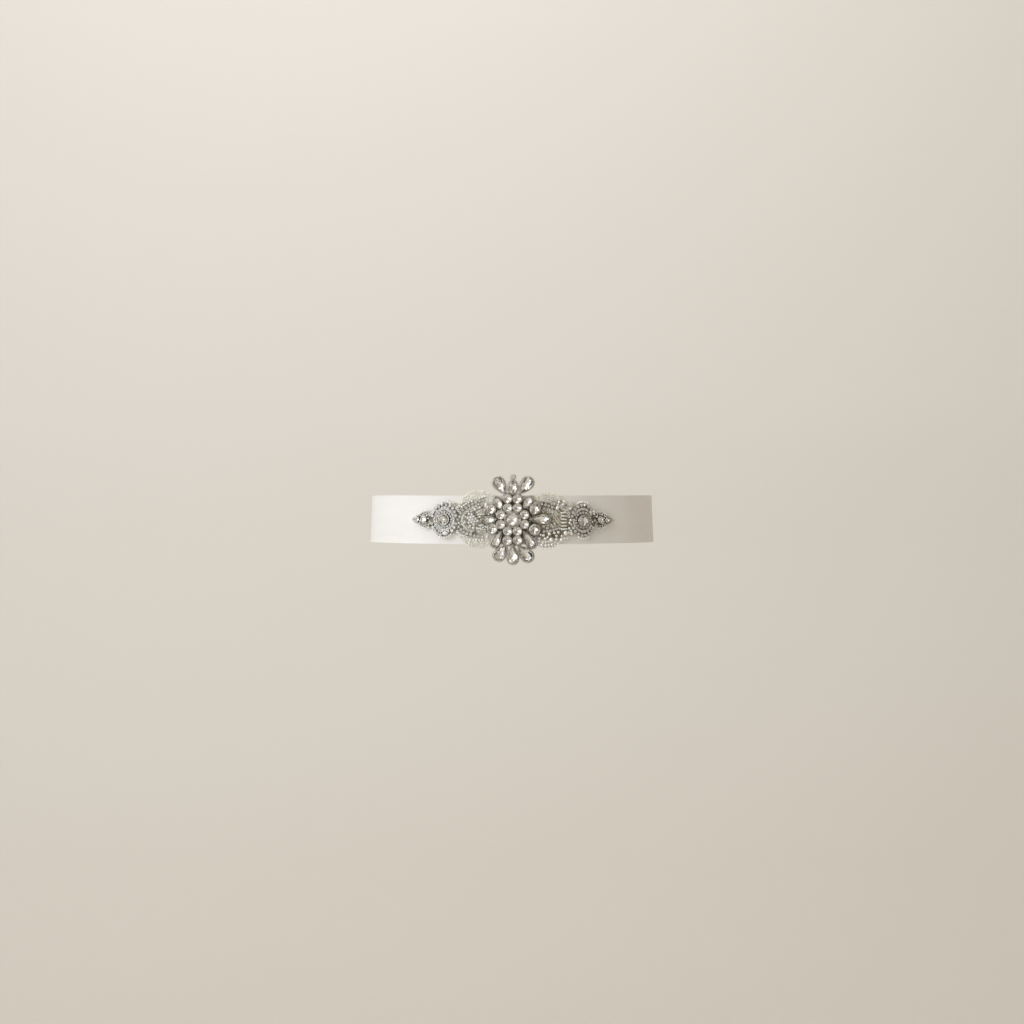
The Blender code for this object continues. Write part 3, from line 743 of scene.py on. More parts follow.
def addClaws():
    # A claw is a rounded bar, thinner at its tip, bent over the stone's edge
    item = startMesh(bpy.ops.mesh.primitive_cube_add, size=1.0)
    bpy.ops.mesh.subdivide(number_cuts=1)
    endEdit()
    points = getPoints(item)
    points[:, 0] *= 1 - 0.35 * (points[:, 1] > 0.2)
    points[:, 2] += 0.15 * (points[:, 1] > 0.2) - 0.55 * (points[:, 1] < -0.2)
    setPoints(item, points)
    addModifier(item, "SUBSURF", levels=1, render_levels=1)
    # the claw's foot is darker and its top lighter: rubbed plating and painted shade
    setAttribute(item.data, "worn", np.clip(0.5 + getPoints(item)[:, 2], 0, 1.1))
    claw = takeTemplate(item)
    stamps = []
    for stone in stones:
        count = claws["counts"][stone.cut]
        for number in range(count):
            turn = 2 * math.pi * (number + 0.5) / count
            x, y = stoneOutline(stone, turn)
            ahead, behind = stoneOutline(stone, turn + 0.02), stoneOutline(stone, turn - 0.02)
            inwards = math.atan2(ahead[1] - behind[1], ahead[0] - behind[0])
            place = Matrix.Translation(Vector((x * 0.985, y * 0.985, girdle * stone.thick + claws["lift"])) * mm)
            turned = Matrix.Rotation(inwards, 4, "Z") @ Matrix.Rotation(math.radians(claws["lean"]), 4, "X")
            stamps.append((claw, seatOf(stone) @ place @ turned, claws["size"]))
    stampedPiece("stoneClaws", stamps, [silverCups], "setting_silver")


def outlineCorners(stone, margin, count=160):
    x, y = stoneOutline(stone, np.arange(count + 1) * 2 * math.pi / count, margin)
    return np.stack([stone.along + x, stone.up + y], 1)


def gapTo(points, shapes):
    # Distance from each point to the nearest outline, less than nothing inside one
    gap = np.full(len(points), 1e9)
    for corners in shapes:
        offset = corners[None, :, :] - points[:, None, :]
        near = np.sqrt((offset**2).sum(-1)).min(1)
        x1, y1, x2, y2 = offset[:, :-1, 0], offset[:, :-1, 1], offset[:, 1:, 0], offset[:, 1:, 1]
        rise = np.where(y2 == y1, 1e-9, y2 - y1)
        hits = ((y1 > 0) != (y2 > 0)) & (x1 - y1 * (x2 - x1) / rise > 0)
        gap = np.minimum(gap, np.where(hits.sum(1) % 2, -near, near))
    return gap


def addCutSheet(shapes, box, step):
    # A flat grid on the band, cut to the outlines together. Its points' along and up are returned too.
    fromAlong, toAlong, fromUp, toUp = box
    item = startMesh(
        bpy.ops.mesh.primitive_grid_add, x_subdivisions=round((toAlong - fromAlong) / step),
        y_subdivisions=round((toUp - fromUp) / step), size=1.0,
    )
    bpy.ops.mesh.select_all(action="DESELECT")
    bpy.ops.mesh.select_mode(type="VERT")
    endEdit()
    flat = (getPoints(item)[:, :2] + 0.5) * (toAlong - fromAlong, toUp - fromUp) + (fromAlong, fromUp)
    setPoints(item, np.hstack([flat, np.zeros((len(flat), 1))]))
    item.data.vertices.foreach_set("select", gapTo(flat, shapes) > 0.55 * step)
    bpy.ops.object.mode_set(mode="EDIT")
    bpy.ops.mesh.delete(type="VERT")
    endEdit()
    flat = getPoints(item)[:, :2]
    uses = {}
    for face in item.data.polygons:
        for key in face.edge_keys:
            uses[key] = uses.get(key, 0) + 1
    rim = sorted({corner for key, count in uses.items() if count == 1 for corner in key})
    # the corners on the rim move on to the outline
    gap = gapTo(flat[rim], shapes)
    nudge = 0.05
    slopes = [(gapTo(flat[rim] + step, shapes) - gapTo(flat[rim] - step, shapes)) / (2 * nudge)
              for step in ((nudge, 0), (0, nudge))]
    flat[rim] -= np.stack(slopes, 1) * gap[:, None]
    return item, flat[:, 0], flat[:, 1]


plate = {
    "box": (-27, 34, -40, 39),
    "middle": Oval("middle", 0.6, -0.8, 16.4, 17.0),  # the plate has no gaps within this oval
    "inner": 3.0,
    "wall": 0.7,
    "margin": 0.55,
    "step": 0.7,
    "worn": 0.3,
}


def ovalCorners(oval, margin=0.0):
    turn = np.arange(301) * 2 * math.pi / 300
    halves = np.array([oval.halfLong, oval.halfHigh]) + margin
    return (oval.along, oval.up) + halves * np.stack([np.cos(turn), np.sin(turn)], 1)


def isOuter(stone):
    return stone.name.startswith("fan") or stone.name == "finial"


def addPlate():
    # The cast frame under the cups, cut round all the stones
    shapes = [outlineCorners(stone, plate["margin"]) for stone in medallionStones] + [ovalCorners(plate["middle"])]
    item, along, up = addCutSheet(shapes, plate["box"], plate["step"])
    setPoints(item, bandPoints(along, up, plate["inner"]))
    thicken(item, plate["wall"])
    # painted shade: the frame is kept at the dark end of the tarnish ramp
    setAttribute(item.data, "worn", np.full(len(item.data.vertices), plate["worn"]))
    finishPiece(item, "medallionFrame", [silverPlateShaded], "setting_silver", "medallion_frame")


addCups()
addClaws()
addPlate()
print("settings made")


# Grounds: felt backing, net wings, rosettes and leaf tips

Leaf = namedtuple("Leaf", "name root point up halfHigh")
sides = ("left", "right")
wings = {"left": Oval("wing_left", -27.4, -0.4, 19.2, 24.4), "right": Oval("wing_right", 28.2, -0.9, 19.0, 23.2)}
rosettes = {
    "left": Oval("rosette_left", -55.5, -0.7, 10.9, 15.2),
    "right": Oval("rosette_right", 58.2, -1.3, 10.2, 15.6),
}
leaves = {"left": Leaf("leaf_left", -67.0, -85.4, -0.6, 8.0), "right": Leaf("leaf_right", 68.9, 87.7, -1.2, 7.9)}
bridges = {"left": Oval("bridge_left", -46.0, 0.2, 5.2, 13.0), "right": Oval("bridge_right", 48.2, -0.4, 5.6, 14.2)}


def reachIn(oval, along, up):
    # 0 at an oval's middle and 1 on its edge
    return math.hypot((along - oval.along) / oval.halfLong, (up - oval.up) / oval.halfHigh)


def leafHalf(leaf, along):
    # A leaf swells over its first quarter, then runs to its point
    swell = 0.25
    share = (np.asarray(along, dtype=float) - leaf.root) / (leaf.point - leaf.root)
    early = 0.77 + 0.23 * np.sin(math.pi / 2 * np.clip(share, 0, 1) / swell)
    late = 1 - np.clip((share - swell) / (1 - swell), 0, 1) ** 1.25
    half = np.maximum(leaf.halfHigh * np.where(share < swell, early, late), 0.5)
    return np.where((share >= -0.05) & (share <= 1.0001), half, np.nan)


def leafCorners(leaf, margin):
    along = np.linspace(leaf.root, leaf.point, 120)
    half = np.maximum(leafHalf(leaf, along) + margin, 0.25)
    xs = np.concatenate([along, along[::-1], along[:1]])
    ys = np.concatenate([leaf.up + half, leaf.up - half[::-1], leaf.up + half[:1]])
    return np.stack([xs, ys], 1)


backing = {
    "box": (-88, 90, -40, 39),
    "inner": 1.35,
    "wall": 0.9,
    "step": 1.1,
    "stoneMargin": 1.0,
    "outerMargin": 0.35,
    "ovalMargin": -0.5,
    "rosetteMargin": -1.3,
    "leafMargin": -1.2,
}


def addBacking():
    shapes = [outlineCorners(stone, backing["outerMargin" if isOuter(stone) else "stoneMargin"])
              for stone in medallionStones]
    shapes += [ovalCorners(oval, backing["ovalMargin"]) for oval in wings.values()]
    shapes += [ovalCorners(oval, backing["rosetteMargin"]) for oval in rosettes.values()]
    shapes += [leafCorners(leaf, backing["leafMargin"]) for leaf in leaves.values()]
    shapes += [ovalCorners(oval) for oval in bridges.values()]
    item, along, up = addCutSheet(shapes, backing["box"], backing["step"])
    wavy = 0.03 * np.sin(along * 0.9 + up * 0.4) + 0.02 * np.sin(along * 0.37 - up * 0.8)
    setPoints(item, bandPoints(along, up, backing["inner"] + wavy))
    thicken(item, backing["wall"])
    finishPiece(item, "feltBacking", [felt], "backing_felt", "applique_backing")


net = {
    "inner": 2.6,
    "wall": 0.3,
    "scallops": 34,
    "scallop": 0.012,  # share of the radius
    "ripple": 0.05,
    # middle and half sizes of the part darkened under the beads with painted shade
    "cores": {"left": (-32.0, -0.5, 19.0, 14.8), "right": (31.0, -1.0, 19.0, 16.0)},
}


def addNet(side, material):
    oval = wings[side]
    item = startMesh(bpy.ops.mesh.primitive_grid_add, x_subdivisions=44, y_subdivisions=52, size=1.0, calc_uvs=True)
    endEdit()
    # the square grid is bent to a round disc
    x, y = getPoints(item)[:, :2].T * 2
    x, y = x * np.sqrt(1 - y * y / 2), y * np.sqrt(1 - x * x / 2)
    scallop = 1 + net["scallop"] * np.hypot(x, y) ** 6 * np.sin(np.arctan2(y, x) * net["scallops"])
    along = oval.along + x * oval.halfLong * scallop
    up = oval.up + y * oval.halfHigh * scallop
    ripple = net["ripple"] * np.sin(along * 0.8) * np.cos(up * 0.7)
    setPoints(item, bandPoints(along, up, net["inner"] + ripple))
    nameClothMap(item, along, up)
    coreAlong, coreUp, halfLong, halfHigh = net["cores"][side]
    fromCore = np.hypot((along - coreAlong) / halfLong, (up - coreUp) / halfHigh)
    # painted shade: the net darkens towards the beaded core
    setAttribute(item.data, "core", 1 - ease((fromCore - 0.85) / 0.3))
    thicken(item, net["wall"])
    finishPiece(item, "netWing_" + side, [material], "beaded_net", oval.name)


# Section of a rosette's ground: share of its radius, and height in millimetres
rosetteSection = [
    (0.0, 0.0), (0.85, 0.0), (0.85, 0.9), (0.82, 1.1), (0.76, 1.0), (0.72, 0.8), (0.62, 1.1), (0.5, 1.0), (0.42, 0.7),
    (0.0, 0.7),
]


def addRosetteGround(side):
    oval = rosettes[side]
    item = turnedShape(rosetteSection, 40)
    x, y, height = getPoints(item).T
    along, up = oval.along + oval.halfLong * x, oval.up + oval.halfHigh * y
    setPoints(item, bandPoints(along, up, plateOut + height))
    # the raised rings are lighter than the rest: rubbed plating and painted shade
    setAttribute(item.data, "worn", 0.32 + 0.2 * (height > 1.05))
    smoothShade(item, 40)
    finishPiece(item, "rosetteGround_" + side, [silverCups], "setting_silver", oval.name)


leafGround = {"under": 2.5, "inset": 1.0, "rib": 0.5, "ribAt": 0.62, "ribHalf": 0.18, "wall": 1.0}


def addLeafGround(side):
    leaf = leaves[side]
    item = startMesh(bpy.ops.mesh.primitive_grid_add, x_subdivisions=26, y_subdivisions=10, size=1.0)
    endEdit()
    x, y = getPoints(item)[:, :2].T
    # it runs in under the rosette's edge
    root = leaf.root - math.copysign(leafGround["under"], leaf.root)
    along = root + (x + 0.5) * (leaf.point - root)
    half = leafHalf(leaf, np.clip(along, *sorted((leaf.root, leaf.point)))) - leafGround["inset"]
    half = np.maximum(half, 0.3)
    up = leaf.up + y * 2 * half
    fromRib = (np.abs(y * 2) - leafGround["ribAt"]) / leafGround["ribHalf"]
    ridge = leafGround["rib"] * np.exp(-(fromRib**2)) * ease((half - 1.5) / 2)
    setPoints(item, bandPoints(along, up, plateOut - 0.1 + ridge))
    bpy.ops.object.mode_set(mode="EDIT")
    bpy.ops.mesh.select_all(action="SELECT")
    bpy.ops.mesh.normals_make_consistent(inside=False)
    endEdit()
    outwards = bandAxes(np.array([leaf.root]))[2][0]
    if np.dot(item.data.polygons[40].normal, outwards) < 0:
        item.data.flip_normals()
    # the rib is lighter than the flat: rubbed plating and painted shade
    setAttribute(item.data, "worn", 0.5 + 0.5 * ridge)
    thicken(item, leafGround["wall"], 40)
    finishPiece(item, "leafGround_" + side, [silverPlateShaded], "setting_silver", leaf.name)


addBacking()
addNet("left", netCream)
addNet("right", netOlive)
for side in sides:
    addRosetteGround(side)
    addLeafGround(side)
print("grounds made")


# Beads and small rhinestones

def seedTemplate():
    # A rocaille: a ring cut from glass cane, its hole along X
    item = startMesh(
        bpy.ops.mesh.primitive_torus_add, major_segments=9, minor_segments=6, major_radius=0.31, minor_radius=0.19,
        rotation=(0, math.pi / 2, 0),
    )
    endEdit()
    bpy.ops.object.transform_apply(location=True, rotation=True, scale=True)
    setPoints(item, getPoints(item) * (1.7, 1, 1))
    return takeTemplate(item)


def ringTemplate():
    # A ring bead sewn flat, its hole facing out
    item = startMesh(
        bpy.ops.mesh.primitive_torus_add, major_segments=12, minor_segments=6, major_radius=0.34, minor_radius=0.16,
    )
    endEdit()
    return takeTemplate(item)


def pearlTemplate():
    # A round bead, dimpled where the hole goes through it along X
    item = startMesh(
        bpy.ops.mesh.primitive_uv_sphere_add, segments=12, ring_count=8, radius=0.5, rotation=(0, math.pi / 2, 0),
    )
    endEdit()
    bpy.ops.object.transform_apply(location=True, rotation=True, scale=True)
    points = getPoints(item)
    points[:, 0] *= np.where(np.abs(points[:, 0]) > 0.49, 0.72, 1)
    setPoints(item, points)
    return takeTemplate(item)


def bugleTemplate():
    # A cut tube, its hole along X
    item = turnedShape([(0.5, -0.46), (0.5, 0.46), (0.4, 0.5), (0.2, 0.5), (0.2, -0.5), (0.4, -0.5)], 8)
    item.data.transform(Matrix.Rotation(math.pi / 2, 4, "Y"))
    return takeTemplate(item)


def threadTemplate():
    # A length of thread along X, its ends going down into the cloth
    item = turnedShape([(0.0, -0.5), (0.3, -0.49), (0.5, -0.42), (0.5, 0.42), (0.3, 0.49), (0.0, 0.5)], 6)
    item.data.transform(Matrix.Rotation(math.pi / 2, 4, "Y"))
    points = getPoints(item)
    points[:, 2] -= 0.9 * (np.abs(points[:, 0]) > 0.45)
    setPoints(item, points)
    return takeTemplate(item)


def smallGemTemplate():
    item = cutShape([(6, 0.27, 0.32, 0), (12, 0.43, 0.17, 0), (12, 0.43, 0.13, 0), (6, 0.25, 0.07, 0.5)])
    markFoil(item)
    return takeTemplate(item)


def smallCupTemplate():
    section = [(0.40, -0.3), (0.47, 0.02), (0.5, 0.12), (0.46, 0.2), (0.41, 0.14), (0.40, 0.0), (0.2, -0.25)]
    item = turnedShape(section, 12)
    points = getPoints(item)
    wave = 0.05 * np.cos(4 * np.arctan2(points[:, 1], points[:, 0])) * (points[:, 2] > 0.1)
    points[:, 2] += wave
    points[:, :2] *= (1 - np.where(points[:, 2] > 0.18, wave, 0))[:, None]
    setPoints(item, points)
    # the cup's foot is darker and its rim lighter: rubbed plating and painted shade
    setAttribute(item.data, "worn", np.clip(0.1 + 4 * points[:, 2], 0, 1.1))
    return takeTemplate(item)


seed, ring, roundBead, bugle = seedTemplate(), ringTemplate(), pearlTemplate(), bugleTemplate()
strand, smallGem, smallCup = threadTemplate(), smallGemTemplate(), smallCupTemplate()

# What each kind of bead is: template, size as a share of its diameter each way, spacing, and height of its middle
Kind = namedtuple("Kind", "template shape pitch lift")
evenly = (1, 1, 1)
beadKinds = {
    "seed": Kind(seed, evenly, 0.86, 0.42),
    "cream": Kind(seed, evenly, 0.86, 0.42),
    "smoke": Kind(seed, evenly, 0.92, 0.42),
    "ring": Kind(ring, (1, 1, 1.15), 1.04, 0.26),
    "round": Kind(roundBead, evenly, 1.08, 0.44),
    "pearl": Kind(roundBead, evenly, 1.04, 0.46),
    "drop": Kind(roundBead, (1.7, 1, 0.8), 1.8, 0.40),
    "bugle": Kind(bugle, (3.4, 1, 1), 3.6, 0.46),
    "longBugle": Kind(bugle, (5.4, 1, 1), 5.6, 0.46),
    "rhinestone": Kind(smallGem, evenly, 1.08, 0.34),
}

taken = []  # circles on the band that hold something: along, up, radius
stoneShapes = [(stone.along, stone.up, stone.long / 2, outlineCorners(stone, 0.0, 48)) for stone in stones]
stampsOf = {}


def isFree(along, up, radius, closeness=0.92):
    nearby = [shape for x, y, reach, shape in stoneShapes if math.hypot(along - x, up - y) < reach + radius + 1.5]
    if gapTo(np.array([[along, up]]), nearby)[0] < radius * closeness + 0.25:
        return False
    if not taken:
        return True
    rows = np.array(taken)
    return bool(np.all(np.hypot(rows[:, 0] - along, rows[:, 1] - up) > closeness * (rows[:, 2] + radius)))


def wingTop(along, up):
    # The net's top, and the felt's beyond its edge
    onNet = any(reachIn(oval, along, up) < 1 for oval in wings.values())
    return netTop if onNet else backing["inner"] + backing["wall"]


def addStamp(zone, kind, template, matrix, size):
    stampsOf.setdefault((zone, kind), []).append((template, matrix, size))


def placeBead(zone, kind, along, up, size, ground, heading=0.0, closeness=0.92):
    # Sews on one bead unless something is in its place. The ground is the height of what it lies on.
    if not isFree(along, up, size / 2, closeness):
        return
    if zone.startswith("wing"):
        ground = wingTop(along, up)
    facts = beadKinds[kind]
    taken.append((along, up, size / 2))
    reach = (facts.shape[0] - 1) / 2
    for step in (-reach, -reach / 2, reach / 2, reach) if reach > 0 else ():
        taken.append((along + step * size * math.cos(heading), up + step * size * math.sin(heading), size / 2))
    size *= dice.uniform(0.93, 1.06)
    here = bandFrame(along, up, ground + facts.lift * size, heading + dice.uniform(-0.15, 0.15)) @ tipped(10)
    shape = tuple(size * share for share in facts.shape)
    addStamp(zone, kind, facts.template, here, shape)
    if kind == "rhinestone":
        addStamp(zone, "cup", smallCup, here, shape)


def lengthsAlong(places):
    return np.concatenate([[0], np.cumsum(np.hypot(*np.diff(places, axis=0).T))])


def beadRow(zone, kind, places, size, ground, closeness=0.86):
    # Beads strung along a line through the places, each a little off it
    places = np.asarray(places, dtype=float)
    walked = lengthsAlong(places)
    count = max(round(walked[-1] / (size * beadKinds[kind].pitch)), 1)
    closed = np.allclose(places[0], places[-1])
    for number in range(count if closed else count + 1):
        here = walked[-1] * number / count
        x, y = (np.interp(here, walked, column) for column in places.T)
        span = [max(here - 0.4, 0), min(here + 0.4, walked[-1])]
        run, rise = (np.diff(np.interp(span, walked, column))[0] for column in places.T)
        x, y = x + dice.uniform(-0.12, 0.12), y + dice.uniform(-0.12, 0.12)
        placeBead(zone, kind, x, y, size, ground, math.atan2(rise, run), closeness)


def arcPlaces(side, centre, radii, start, end):
    # Turns in degrees: 0 points away from the medallion and 90 up
    sign = -1 if side == "left" else 1
    steps = np.radians(np.linspace(start, end, 120))
    return np.stack([centre[0] + sign * radii[0] * np.cos(steps), centre[1] + radii[1] * np.sin(steps)], 1)


def scatter(zone, kind, inside, box, size, ground, tries):
    fromAlong, toAlong, fromUp, toUp = box
    for _ in range(tries):
        along, up = dice.uniform(fromAlong, toAlong), dice.uniform(fromUp, toUp)
        if inside(along, up):
            placeBead(zone, kind, along, up, size * dice.uniform(0.9, 1.1), ground, dice.uniform(0, math.pi), 0.95)


netTop = net["inner"] + net["wall"]
rosetteTop = plateOut + 1.0
leafTop = plateOut + 0.95

# Rosettes first, as the wings' rows run up to them. Rows: kind, half length, half height, from, to, size
rosetteRows = {
    "left": [
        ("rhinestone", 6.2, 6.3, 30, 390, 2.1),
        ("ring", 8.2, 9.2, 0, 360, 2.4),
        ("rhinestone", 10.5, 12.6, 0, 360, 3.0),
        ("round", 10.6, 14.9, 20, 160, 1.9),
        ("round", 10.6, 14.9, 200, 340, 1.9),
    ],
    "right": [
        ("rhinestone", 6.1, 6.3, 0, 360, 2.2),
        ("ring", 8.0, 9.3, 0, 360, 2.4),
        ("rhinestone", 9.9, 12.7, 0, 360, 3.0),
        ("round", 10.2, 15.0, 20, 160, 1.9),
        ("round", 10.2, 15.0, 200, 340, 1.9),
    ],
}
looseBeads = {
    # kind, along, up, size, heading in degrees
    "rosette_left": [("drop", -54.0, -12.1, 2.9, 5)],
    "rosette_right": [
        ("round", 59.5, 11.1, 2.4, 0), ("round", 64.4, 5.4, 2.3, 0), ("smoke", 66.8, 0.7, 2.4, 0),
        ("smoke", 67.2, -4.5, 2.4, 0),
    ],
    "wing_left": [
        ("drop", -20.9, 11.0, 3.3, 100), ("drop", -19.9, -14.9, 2.6, 60),
        ("longBugle", -25.2, 3.6, 1.1, 6), ("longBugle", -26.4, 6.2, 1.1, 28), ("longBugle", -26.2, -8.2, 1.1, -20),
        ("bugle", -24.6, -5.2, 1.2, 10), ("round", -29.8, 7.6, 2.4, 0), ("round", -31.0, -7.6, 2.6, 0),
        ("round", -26.0, 9.2, 2.2, 0),
    ],
    "wing_right": [
        ("round", 36.7, 8.7, 3.4, 0), ("round", 25.3, -13.6, 2.6, 0), ("round", 29.9, -12.5, 2.8, 0),
        ("round", 34.1, -11.6, 2.4, 0), ("round", 37.4, -11.1, 2.8, 0), ("round", 43.1, -11.8, 4.0, 0),
        ("round", 40.3, -8.6, 2.2, 0), ("round", 46.6, -8.0, 2.6, 0), ("round", 48.3, -12.2, 2.6, 0),
        ("round", 26.7, -16.2, 2.4, 0), ("round", 31.3, -17.2, 3.7, 0), ("round", 35.6, -16.9, 2.5, 0),
        ("round", 39.7, -17.2, 2.7, 0), ("round", 35.8, -14.2, 2.2, 0), ("round", 23.8, -21.4, 2.3, 0),
        ("round", 27.0, -21.9, 2.4, 0), ("round", 29.4, -21.6, 2.2, 0), ("round", 31.9, -21.3, 2.5, 0),
        ("round", 37.0, -20.5, 2.3, 0), ("ring", 25.6, -6.3, 2.3, 0), ("ring", 28.6, -7.6, 2.4, 0),
        ("ring", 33.2, -6.6, 2.3, 0), ("round", 49.0, 2.6, 2.4, 0), ("round", 47.6, 5.4, 2.4, 0),
        ("round", 46.9, -3.6, 2.3, 0),
    ],
}
for side in sides:
    oval = rosettes[side]
    for kind, along, up, size, heading in looseBeads["rosette_" + side]:
        placeBead("rosette_" + side, kind, along, up, size, rosetteTop, math.radians(heading))
    for kind, halfLong, halfHigh, start, end, size in rosetteRows[side]:
        places = arcPlaces(side, (oval.along, oval.up), (halfLong, halfHigh), start, end)
        beadRow("rosette_" + side, kind, places, size, rosetteTop, 0.84)


def leafEdges(leaf, inset):
    # Places along its upper and lower edge, from the point to the root
    along = np.linspace(leaf.root, leaf.point - math.copysign(0.9, leaf.point), 300)
    half = leafHalf(leaf, along) - inset
    keep = half > 0.15
    return [np.stack([along[keep], leaf.up + half[keep] * way], 1)[::-1] for way in (1, -1)]


for side in sides:
    for kind, inset, size in (("ring", 1.1, 2.2), ("seed", 3.0, 1.3)):
        for places in leafEdges(leaves[side], inset):
            beadRow("leaf_" + side, kind, places, size, leafTop)

for side in sides:
    for kind, along, up, size, heading in looseBeads["wing_" + side]:
        placeBead("wing_" + side, kind, along, up, size, netTop, math.radians(heading), 0.8)

# Rows of the wings: kind, size, places
wingRows = {
    "left": [
        ("rhinestone", 2.8, [(-23.4, 15.2), (-29.5, 13.4), (-35.4, 10.5), (-40.2, 7.0), (-43.3, 3.0), (-44.3, -1.6),
                             (-43.4, -6.4), (-40.0, -10.4), (-35.0, -12.6), (-29.6, -14.0), (-24.2, -14.8)]),
        ("ring", 2.4, [(-24.2, 11.6), (-29.2, 10.4), (-34.2, 7.8), (-38.2, 4.6), (-40.6, 0.4), (-39.9, -4.8),
                       (-37.0, -8.4), (-32.6, -10.3)]),
        ("round", 2.3, [(-22.0, 18.2), (-28.0, 16.4)]),
        ("round", 2.1, [(-33.0, 14.0), (-37.6, 12.0), (-40.6, 9.4)]),
        ("round", 2.2, [(-48.2, 5.4), (-45.0, 0.0), (-47.8, -6.6)]),
        ("ring", 2.5, [(-39.8, 10.6), (-44.0, 6.4), (-46.6, 2.2)]),
        ("ring", 2.5, [(-46.9, -4.0), (-45.4, -9.4), (-41.0, -13.4), (-36.0, -15.4)]),
        ("round", 2.0, [(-42.6, 10.4), (-45.6, 8.0)]),
        ("round", 2.2, [(-33.4, -17.2), (-28.4, -17.6), (-23.6, -17.4)]),
    ],
    "right": [
        ("ring", 2.6, [(21.4, 15.2), (25.2, 15.2), (30.4, 14.0), (34.2, 12.2)]),
        ("rhinestone", 2.6, [(24.0, 11.9), (28.0, 11.2), (32.6, 9.4)]),
        ("round", 2.2, [(38.2, 13.6), (41.4, 11.6)]),
        ("ring", 2.3, [(25.4, 17.8), (30.6, 17.0), (36.0, 15.0)]),
        ("ring", 2.5, [(37.4, 11.4), (40.0, 8.8), (43.2, 6.8)]),
        ("round", 2.4, [(47.9, 8.4), (48.0, -6.0)]),
        ("ring", 2.4, [(45.6, 9.0), (46.4, -0.6)]),
        ("ring", 2.5, [(46.0, -6.0), (50.2, -9.6), (52.0, -12.6)]),
        ("rhinestone", 2.6, [(25.6, -10.6), (30.4, -10.0), (34.6, -8.8), (38.4, -8.0)]),
        ("seed", 1.8, [(26.0, 8.4), (30.0, 7.2), (33.0, 5.4)]),
        ("seed", 1.8, [(29.0, -5.4), (33.0, -4.6), (36.0, -3.4)]),
        ("round", 2.2, [(27.0, -19.2), (44.6, -16.0)]),
    ],
}
# Pearls: a middle one and two rings of six round it, and their turns in degrees
pearlCluster = {"along": -31.7, "up": -0.6, "size": 2.3, "rings": ((2.4, 12), (4.2, 42))}
pearlPlaces = [(0, 12)] + [(reach, first + 60 * step) for reach, first in pearlCluster["rings"] for step in range(6)]
for reach, turn in pearlPlaces:
    spot = math.radians(turn)
    along = pearlCluster["along"] + reach * math.cos(spot)
    up = pearlCluster["up"] + reach * math.sin(spot)
    placeBead("wing_left", "pearl", along, up, pearlCluster["size"], netTop, spot, 0.9)

bugleLadder = {"along": 42.2, "top": 5.0, "pitch": 2.74, "count": 6, "size": 1.5, "uneven": 9}
for number in range(bugleLadder["count"]):
    up = bugleLadder["top"] - bugleLadder["pitch"] * number
    lean = math.radians(dice.uniform(-bugleLadder["uneven"], bugleLadder["uneven"]))
    placeBead("wing_right", "bugle", bugleLadder["along"], up, bugleLadder["size"], netTop, lean, 0.8)
for side in sides:
    for kind, size, places in wingRows[side]:
        beadRow("wing_" + side, kind, places, size, netTop)

# Strands: threads wound tight, from place to place, and their thickness
strands = {
    "leaf_left": [
        ((-80.6, 2.6), (-85.4, -0.3), 0.8), ((-80.6, -3.8), (-85.4, -0.9), 0.8), ((-81.6, -0.6), (-85.9, -0.6), 0.8),
    ],
    "leaf_right": [
        ((82.4, 1.7), (87.6, -0.9), 0.8), ((82.4, -4.1), (87.6, -1.5), 0.8), ((83.0, -1.2), (88.0, -1.2), 0.8),
    ],
    "wing_left": [
        ((-47.9, 7.6), (-43.6, 10.9), 0.9), ((-48.9, 8.9), (-44.6, 12.0), 0.9), ((-52.6, 12.6), (-49.2, 8.9), 0.9),
        ((-21.9, 5.4), (-27.4, 7.4), 0.7), ((-28.4, -11.6), (-22.6, -11.8), 0.8),
    ],
    "wing_right": [
        ((39.0, 12.2), (43.1, 7.4), 1.0), ((40.4, 12.9), (44.4, 8.6), 1.0), ((45.6, 12.7), (51.4, 8.0), 1.1),
        ((46.9, 13.6), (52.6, 9.0), 1.1),
        ((29.8, 8.4), (36.6, 3.2), 0.75), ((32.0, 8.2), (39.6, 1.4), 0.75), ((34.6, 7.4), (40.8, 0.0), 0.75),
        ((37.6, 7.4), (41.0, 3.2), 0.75), ((35.9, 2.2), (40.6, -4.4), 0.75), ((35.4, -0.4), (39.6, -6.6), 0.75),
        ((33.2, -3.4), (37.2, -7.6), 0.75), ((29.4, 5.6), (33.6, 4.0), 0.75), ((28.6, -4.6), (34.0, -6.0), 0.75),
        ((31.2, 6.6), (35.9, 1.6), 0.6), ((33.0, 5.9), (37.4, 0.4), 0.6), ((34.3, 1.2), (37.9, -4.9), 0.6),
        ((32.6, -1.9), (36.2, -6.6), 0.6), ((29.6, -5.9), (33.9, -7.4), 0.6), ((27.4, 6.6), (31.9, 5.6), 0.6),
        ((38.4, 5.0), (41.0, 1.4), 0.6), ((37.2, -1.4), (40.4, -7.0), 0.6), ((31.6, 3.4), (34.6, 0.6), 0.6),
        ((26.4, -4.6), (30.6, -3.9), 0.6), ((33.6, 9.4), (38.4, 5.6), 0.6), ((24.2, 7.4), (28.6, 8.2), 0.6),
    ],
}
for zone, rows in strands.items():
    for (fromAlong, fromUp), (toAlong, toUp), thick in rows:
        run, rise = toAlong - fromAlong, toUp - fromUp
        middle = ((fromAlong + toAlong) / 2, (fromUp + toUp) / 2)
        here = bandFrame(*middle, netTop + 0.35 * thick, math.atan2(rise, run))
        addStamp(zone, "strand", strand, here, (math.hypot(run, rise), thick, thick))
        for share in np.linspace(0.1, 0.9, 7) if thick > 0.6 else ():
            taken.append((fromAlong + run * share, fromUp + rise * share, thick / 2))


